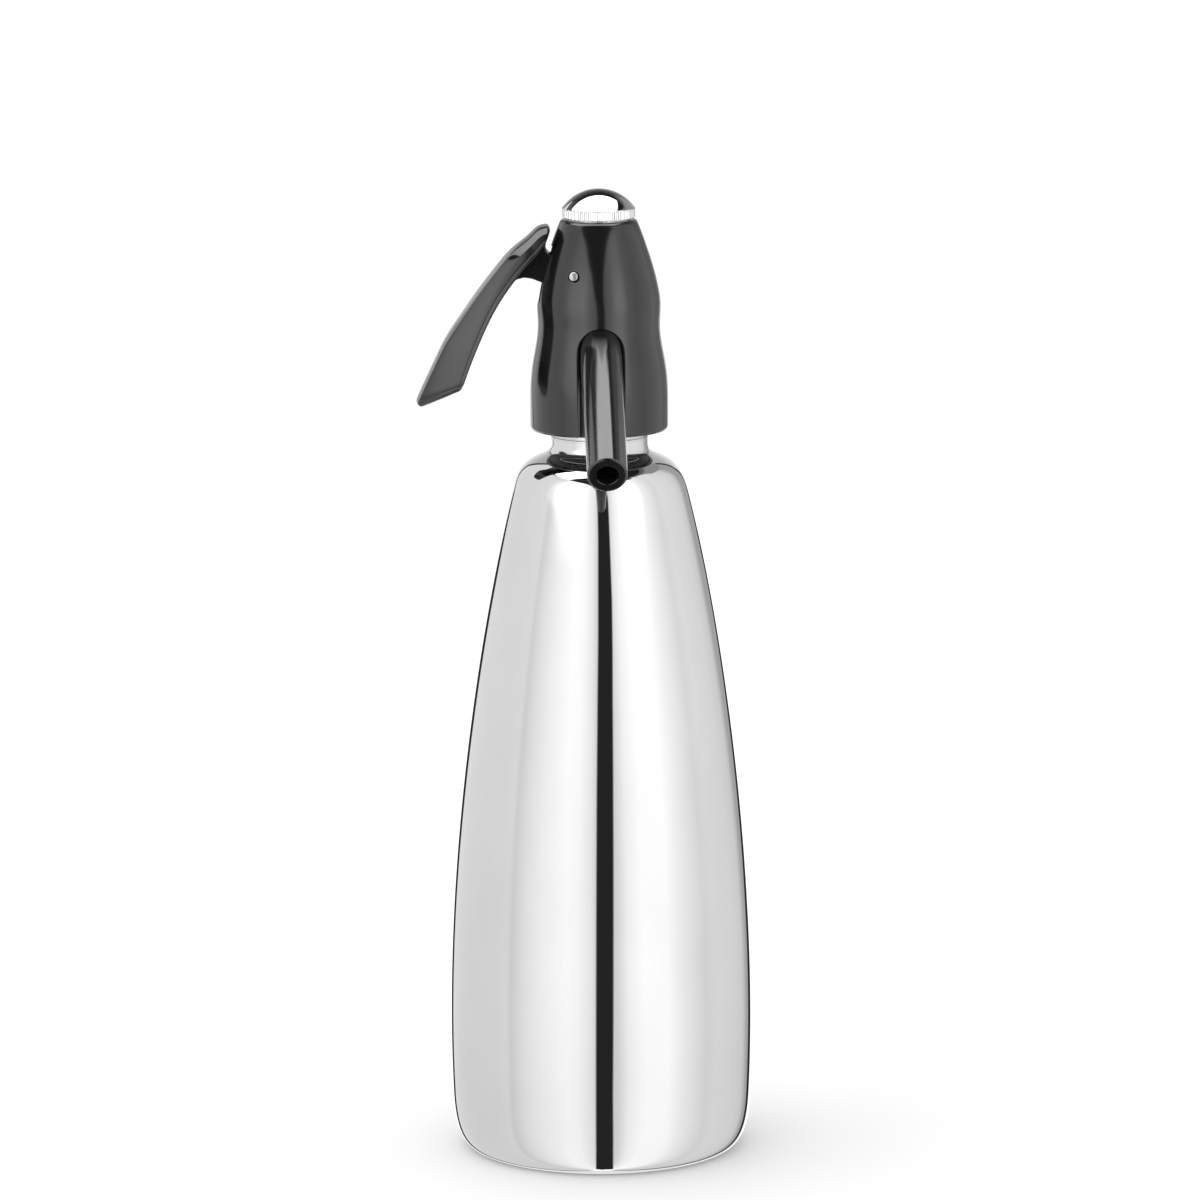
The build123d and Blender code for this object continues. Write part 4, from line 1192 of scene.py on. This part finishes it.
# the slot that the camera looks through: its edges (degrees left and right) at each height (mm)
SLOT_L = [(0, 5.6), (86, 5.0), (127, 4.7), (168, 4.1), (195, 3.6), (239, 3.6), (255, 4.3), (271, 5.0), (300, 6.5), (315, 8.5), (338, 13.5), (354, 19.0), (367, 27.0), (376, 35.0), (388, 50.0), (396, 60.0), (450, 60.0)]
SLOT_R = [(0, 5.2), (65, 5.9), (86, 6.2), (127, 6.9), (168, 7.8), (189, 8.6), (211, 9.2), (239, 8.8), (255, 8.4), (275, 8.2), (300, 7.0), (331, 6.2), (354, 8.2), (363, 9.8), (368, 12.7), (378, 18.0), (384, 24.0), (394, 32.0), (402, 60.0), (450, 60.0)]
# how much wider each side of the slot is below the bottle (mm down)
LOW_L = [(0, 0.0), (55, 0.4), (105, 1.1), (161, 1.9), (280, 3.9), (800, 13.0), (1000, 14.0)]
LOW_R = [(0, 0.0), (55, 0.7), (105, 1.8), (165, 3.4), (290, 7.1), (800, 24.0), (1000, 26.0)]
# top edge of the tent's wall round it (degrees, mm), and how bright it is above that edge
WALL_TOP = [(-180, 410), (-150, 400), (-138, 385), (-128, 366), (-115, 366), (-93, 393), (-70, 413), (-41, 430), (0, 440), (49, 430), (86, 418), (97, 392), (103, 362), (125, 335), (139, 326), (147, 330), (152, 400), (180, 410)]
ABOVE = [(-180, 0.03), (-150, 0.05), (-130, 0.10), (-110, 0.10), (-80, 0.22), (-40, 0.22), (0, 0.15), (50, 0.32), (90, 0.36), (120, 0.36), (145, 0.36), (156, 0.05), (180, 0.03)]
# where the wall ends at the back (degrees from the front, left and right) at each height
BACK_L = [(0, 144.0), (60, 142.0), (130, 137.8), (180, 136.0), (222, 136.0), (240, 143.0), (275, 148.0), (450, 148.0)]
BACK_R = [(0, 134.0), (60, 134.8), (130, 139.3), (180, 145.0), (225, 144.0), (260, 140.0), (300, 143.0), (450, 148.0)]
BACK = [(0, 1.5), (185, 1.5), (225, 1.25), (243, 1.08), (270, 0.78), (296, 0.58), (320, 0.55), (340, 0.48), (357, 0.28), (385, 0.15), (410, 0.04), (450, 0.02)]


def tent_value(g, v):
    sep = g.node("ShaderNodeSeparateXYZ")
    g.link(v, sep.inputs[0])
    x, y, z = sep.outputs
    phi = g.math("MULTIPLY", g.math("ARCTAN2", x, g.math("MULTIPLY", y, -1.0)), 180 / PI)
    p01 = g.math("ADD", g.math("DIVIDE", phi, 360.0), 0.5)
    zz = g.math("DIVIDE", z, 0.45)
    side = g.math("MULTIPLY", g.ramp(p01, [((a + 180) / 360, v / 2.0) for a, v in SIDE_PHI]), 2.0)
    level = g.ramp(zz, [(0.0, 0.90), (35 / 450, 0.93), (147 / 450, 0.98), (215 / 450, 1.0)])
    left = g.math("MULTIPLY", g.ramp(zz, [(a / 450, v / 60) for a, v in SLOT_L]), -60.0)
    right = g.math("MULTIPLY", g.ramp(zz, [(a / 450, v / 60) for a, v in SLOT_R]), 60.0)
    low = g.math("MULTIPLY", z, -1.0)
    left = g.math("SUBTRACT", left, g.math("MULTIPLY", g.ramp(low, [(a / 1000, v / 30) for a, v in LOW_L]), 30.0))
    right = g.math("ADD", right, g.math("MULTIPLY", g.ramp(low, [(a / 1000, v / 30) for a, v in LOW_R]), 30.0))
    soft = g.ramp(zz, [(0.0, 0.75 / 4), (0.66, 0.9 / 4), (0.82, 2.6 / 4), (1.0, 3.4 / 4)])
    soft = g.math("MULTIPLY", soft, 4.0)
    on_l = g.math("SUBTRACT", 1.0, g.step(phi, g.math("SUBTRACT", left, soft), g.math("ADD", left, soft)))
    on_r = g.step(phi, g.math("SUBTRACT", right, soft), g.math("ADD", right, soft))
    top = g.math("MULTIPLY", g.ramp(p01, [((a + 180) / 360, v / 450) for a, v in WALL_TOP]), 0.45)
    under = g.math("SUBTRACT", 1.0, g.step(z, g.math("SUBTRACT", top, 0.005), g.math("ADD", top, 0.005)))
    end_l = g.math("MULTIPLY", g.ramp(zz, [(a / 450, v / 180) for a, v in BACK_L]), -180.0)
    end_r = g.math("MULTIPLY", g.ramp(zz, [(a / 450, v / 180) for a, v in BACK_R]), 180.0)
    half = g.math("MULTIPLY", g.ramp(zz, [(0.0, 0.32), (0.42, 0.30), (0.50, 0.08), (1.0, 0.08)]), 10.0)
    wide = g.math("ADD", half, 2.2)
    wall = g.math("MULTIPLY", g.step(phi, g.math("ADD", end_l, half), g.math("ADD", end_l, wide)),
                  g.math("SUBTRACT", 1.0, g.step(phi, g.math("SUBTRACT", end_r, wide), g.math("SUBTRACT", end_r, half))))
    back = g.math("ADD", g.math("SUBTRACT", 1.0, g.step(phi, g.math("SUBTRACT", end_l, wide), g.math("SUBTRACT", end_l, half))),
                  g.step(phi, g.math("ADD", end_r, half), g.math("ADD", end_r, wide)))
    lit = g.math("MULTIPLY", g.math("MULTIPLY", g.math("ADD", on_l, on_r), under), wall)
    above = g.math("MULTIPLY", g.math("MULTIPLY", g.math("SUBTRACT", 1.0, under), g.ramp(p01, [((a + 180) / 360, v) for a, v in ABOVE])),
                   g.step(z, 0.400, 0.430, 1.0, 0.35))
    # the wall is brightest high up in front, on both sides of the slot
    ab = g.math("ABSOLUTE", g.math("SUBTRACT", phi, 1.0))
    fade = g.step(phi, g.step(z, 0.236, 0.262, -58.0, -74.0), g.step(z, 0.236, 0.262, -41.0, -48.0))
    fade_r = g.math("SUBTRACT", 1.0, g.step(phi, 38.0, 54.0))
    hot = g.math("MULTIPLY", g.math("MULTIPLY", g.math("MULTIPLY", g.step(ab, 16.0, 31.0), fade), fade_r),
                 g.math("MULTIPLY", g.ramp(zz, [(a / 450, v / 2) for a, v in HOT]), 2.0))
    side = g.math("ADD", g.math("MULTIPLY", side, level), hot)
    lit = g.math("MULTIPLY", side, lit)
    # the lighter background that shows between the wall's ends
    rear = g.math("MULTIPLY", g.math("MULTIPLY", g.ramp(zz, [(a / 450, v / 2.0) for a, v in BACK]), 2.0), back)
    rear = g.math("MULTIPLY", rear, g.step(z, -0.06, -0.01, 0.75, 1.0))
    total = g.math("ADD", g.math("ADD", lit, above), rear)
    return g.math("ADD", total, 0.026)


n_t = 180
ring = [(TENT_R * math.sin(2 * PI * i / n_t), -TENT_R * math.cos(2 * PI * i / n_t)) for i in range(n_t)]
tv = [(x, y, z) for z in (-1.5, 0.45) for x, y in ring]
tf = [(i, (i + 1) % n_t, n_t + (i + 1) % n_t, n_t + i) for i in range(n_t)]
card_object("studio_tent", tv, tf, emission("studio_tent", tent_value))


def top_value(g, v):
    sep = g.node("ShaderNodeSeparateXYZ")
    g.link(v, sep.inputs[0])
    x, y, z = sep.outputs
    e = 0.004
    edge = g.math("ADD", g.math("MULTIPLY", y, -0.287), 0.0685)
    m = g.math("SUBTRACT", 1.0, g.step(x, g.math("SUBTRACT", edge, e), g.math("ADD", edge, e)))
    m = g.math("MULTIPLY", m, g.math("SUBTRACT", 1.0, g.step(y, 0.041 - e, 0.041 + e)))
    m = g.math("MULTIPLY", m, g.step(y, -0.074 - e, -0.074 + e))
    return g.math("ADD", g.math("MULTIPLY", m, 4.7), 0.016)


tv = [(-0.136, -0.080, 0.4), (0.096, -0.080, 0.4), (0.096, 0.047, 0.4), (-0.136, 0.047, 0.4)]
card_object("studio_top", tv, [(0, 1, 2, 3)], emission("studio_top", top_value))

# soft light for the floor, and what lies beyond the tent
world = bpy.data.worlds.new("studio")
SCENE.world = world
world.use_nodes = True
wt = world.node_tree
wt.nodes.clear()
g = Graph(wt)
tc = g.node("ShaderNodeTexCoord")
d = tc.outputs["Generated"]
upz = g.dot(d, (0, 0, 1))
dim = g.node("ShaderNodeBackground")
# beyond the tent: dark overhead, and lit sides with a dark slot in front for pieces lifted above it
dsep = g.node("ShaderNodeSeparateXYZ")
g.link(d, dsep.inputs[0])
turn = g.math("MULTIPLY", g.math("ARCTAN2", dsep.outputs[0], g.math("MULTIPLY", dsep.outputs[1], -1.0)), 180 / PI)
slot = g.step(g.math("ABSOLUTE", g.math("SUBTRACT", turn, 1.0)), 7.0, 20.0)
lit = g.math("ADD", g.math("MULTIPLY", g.math("MULTIPLY", g.step(upz, 0.34, 0.62, 1.0, 0.0), slot), 1.7), 0.016)
dcom = g.node("ShaderNodeCombineXYZ")
for i in range(3):
    g.link(lit, dcom.inputs[i])
g.link(dcom.outputs[0], dim.inputs["Color"])
dim.inputs["Strength"].default_value = 1.0
soft = g.node("ShaderNodeBackground")
com = g.node("ShaderNodeCombineXYZ")
from_left = g.dot(d, (-math.cos(AZ), math.sin(AZ), 0.0))
sky = g.math("MULTIPLY", g.step(upz, -0.05, 0.9, 1.0, 1.75, smooth=False), g.math("ADD", 1.0, g.math("MULTIPLY", from_left, 0.30)))
for i in range(3):
    g.link(sky, com.inputs[i])
g.link(com.outputs[0], soft.inputs["Color"])
soft.inputs["Strength"].default_value = 1.0
white = g.node("ShaderNodeBackground")
white.inputs["Color"].default_value = (1, 1, 1, 1)
white.inputs["Strength"].default_value = 1.02
lp = g.node("ShaderNodeLightPath")
mix0 = g.node("ShaderNodeMixShader")
g.link(lp.outputs["Is Glossy Ray"], mix0.inputs[0])
g.link(soft.outputs[0], mix0.inputs[1])
g.link(dim.outputs[0], mix0.inputs[2])
mix = g.node("ShaderNodeMixShader")
g.link(lp.outputs["Is Camera Ray"], mix.inputs[0])
g.link(mix0.outputs[0], mix.inputs[1])
g.link(white.outputs[0], mix.inputs[2])
out = g.node("ShaderNodeOutputWorld")
g.link(mix.outputs[0], out.inputs["Surface"])

SCENE.view_settings.view_transform = "Standard"
SCENE.view_settings.look = "None"
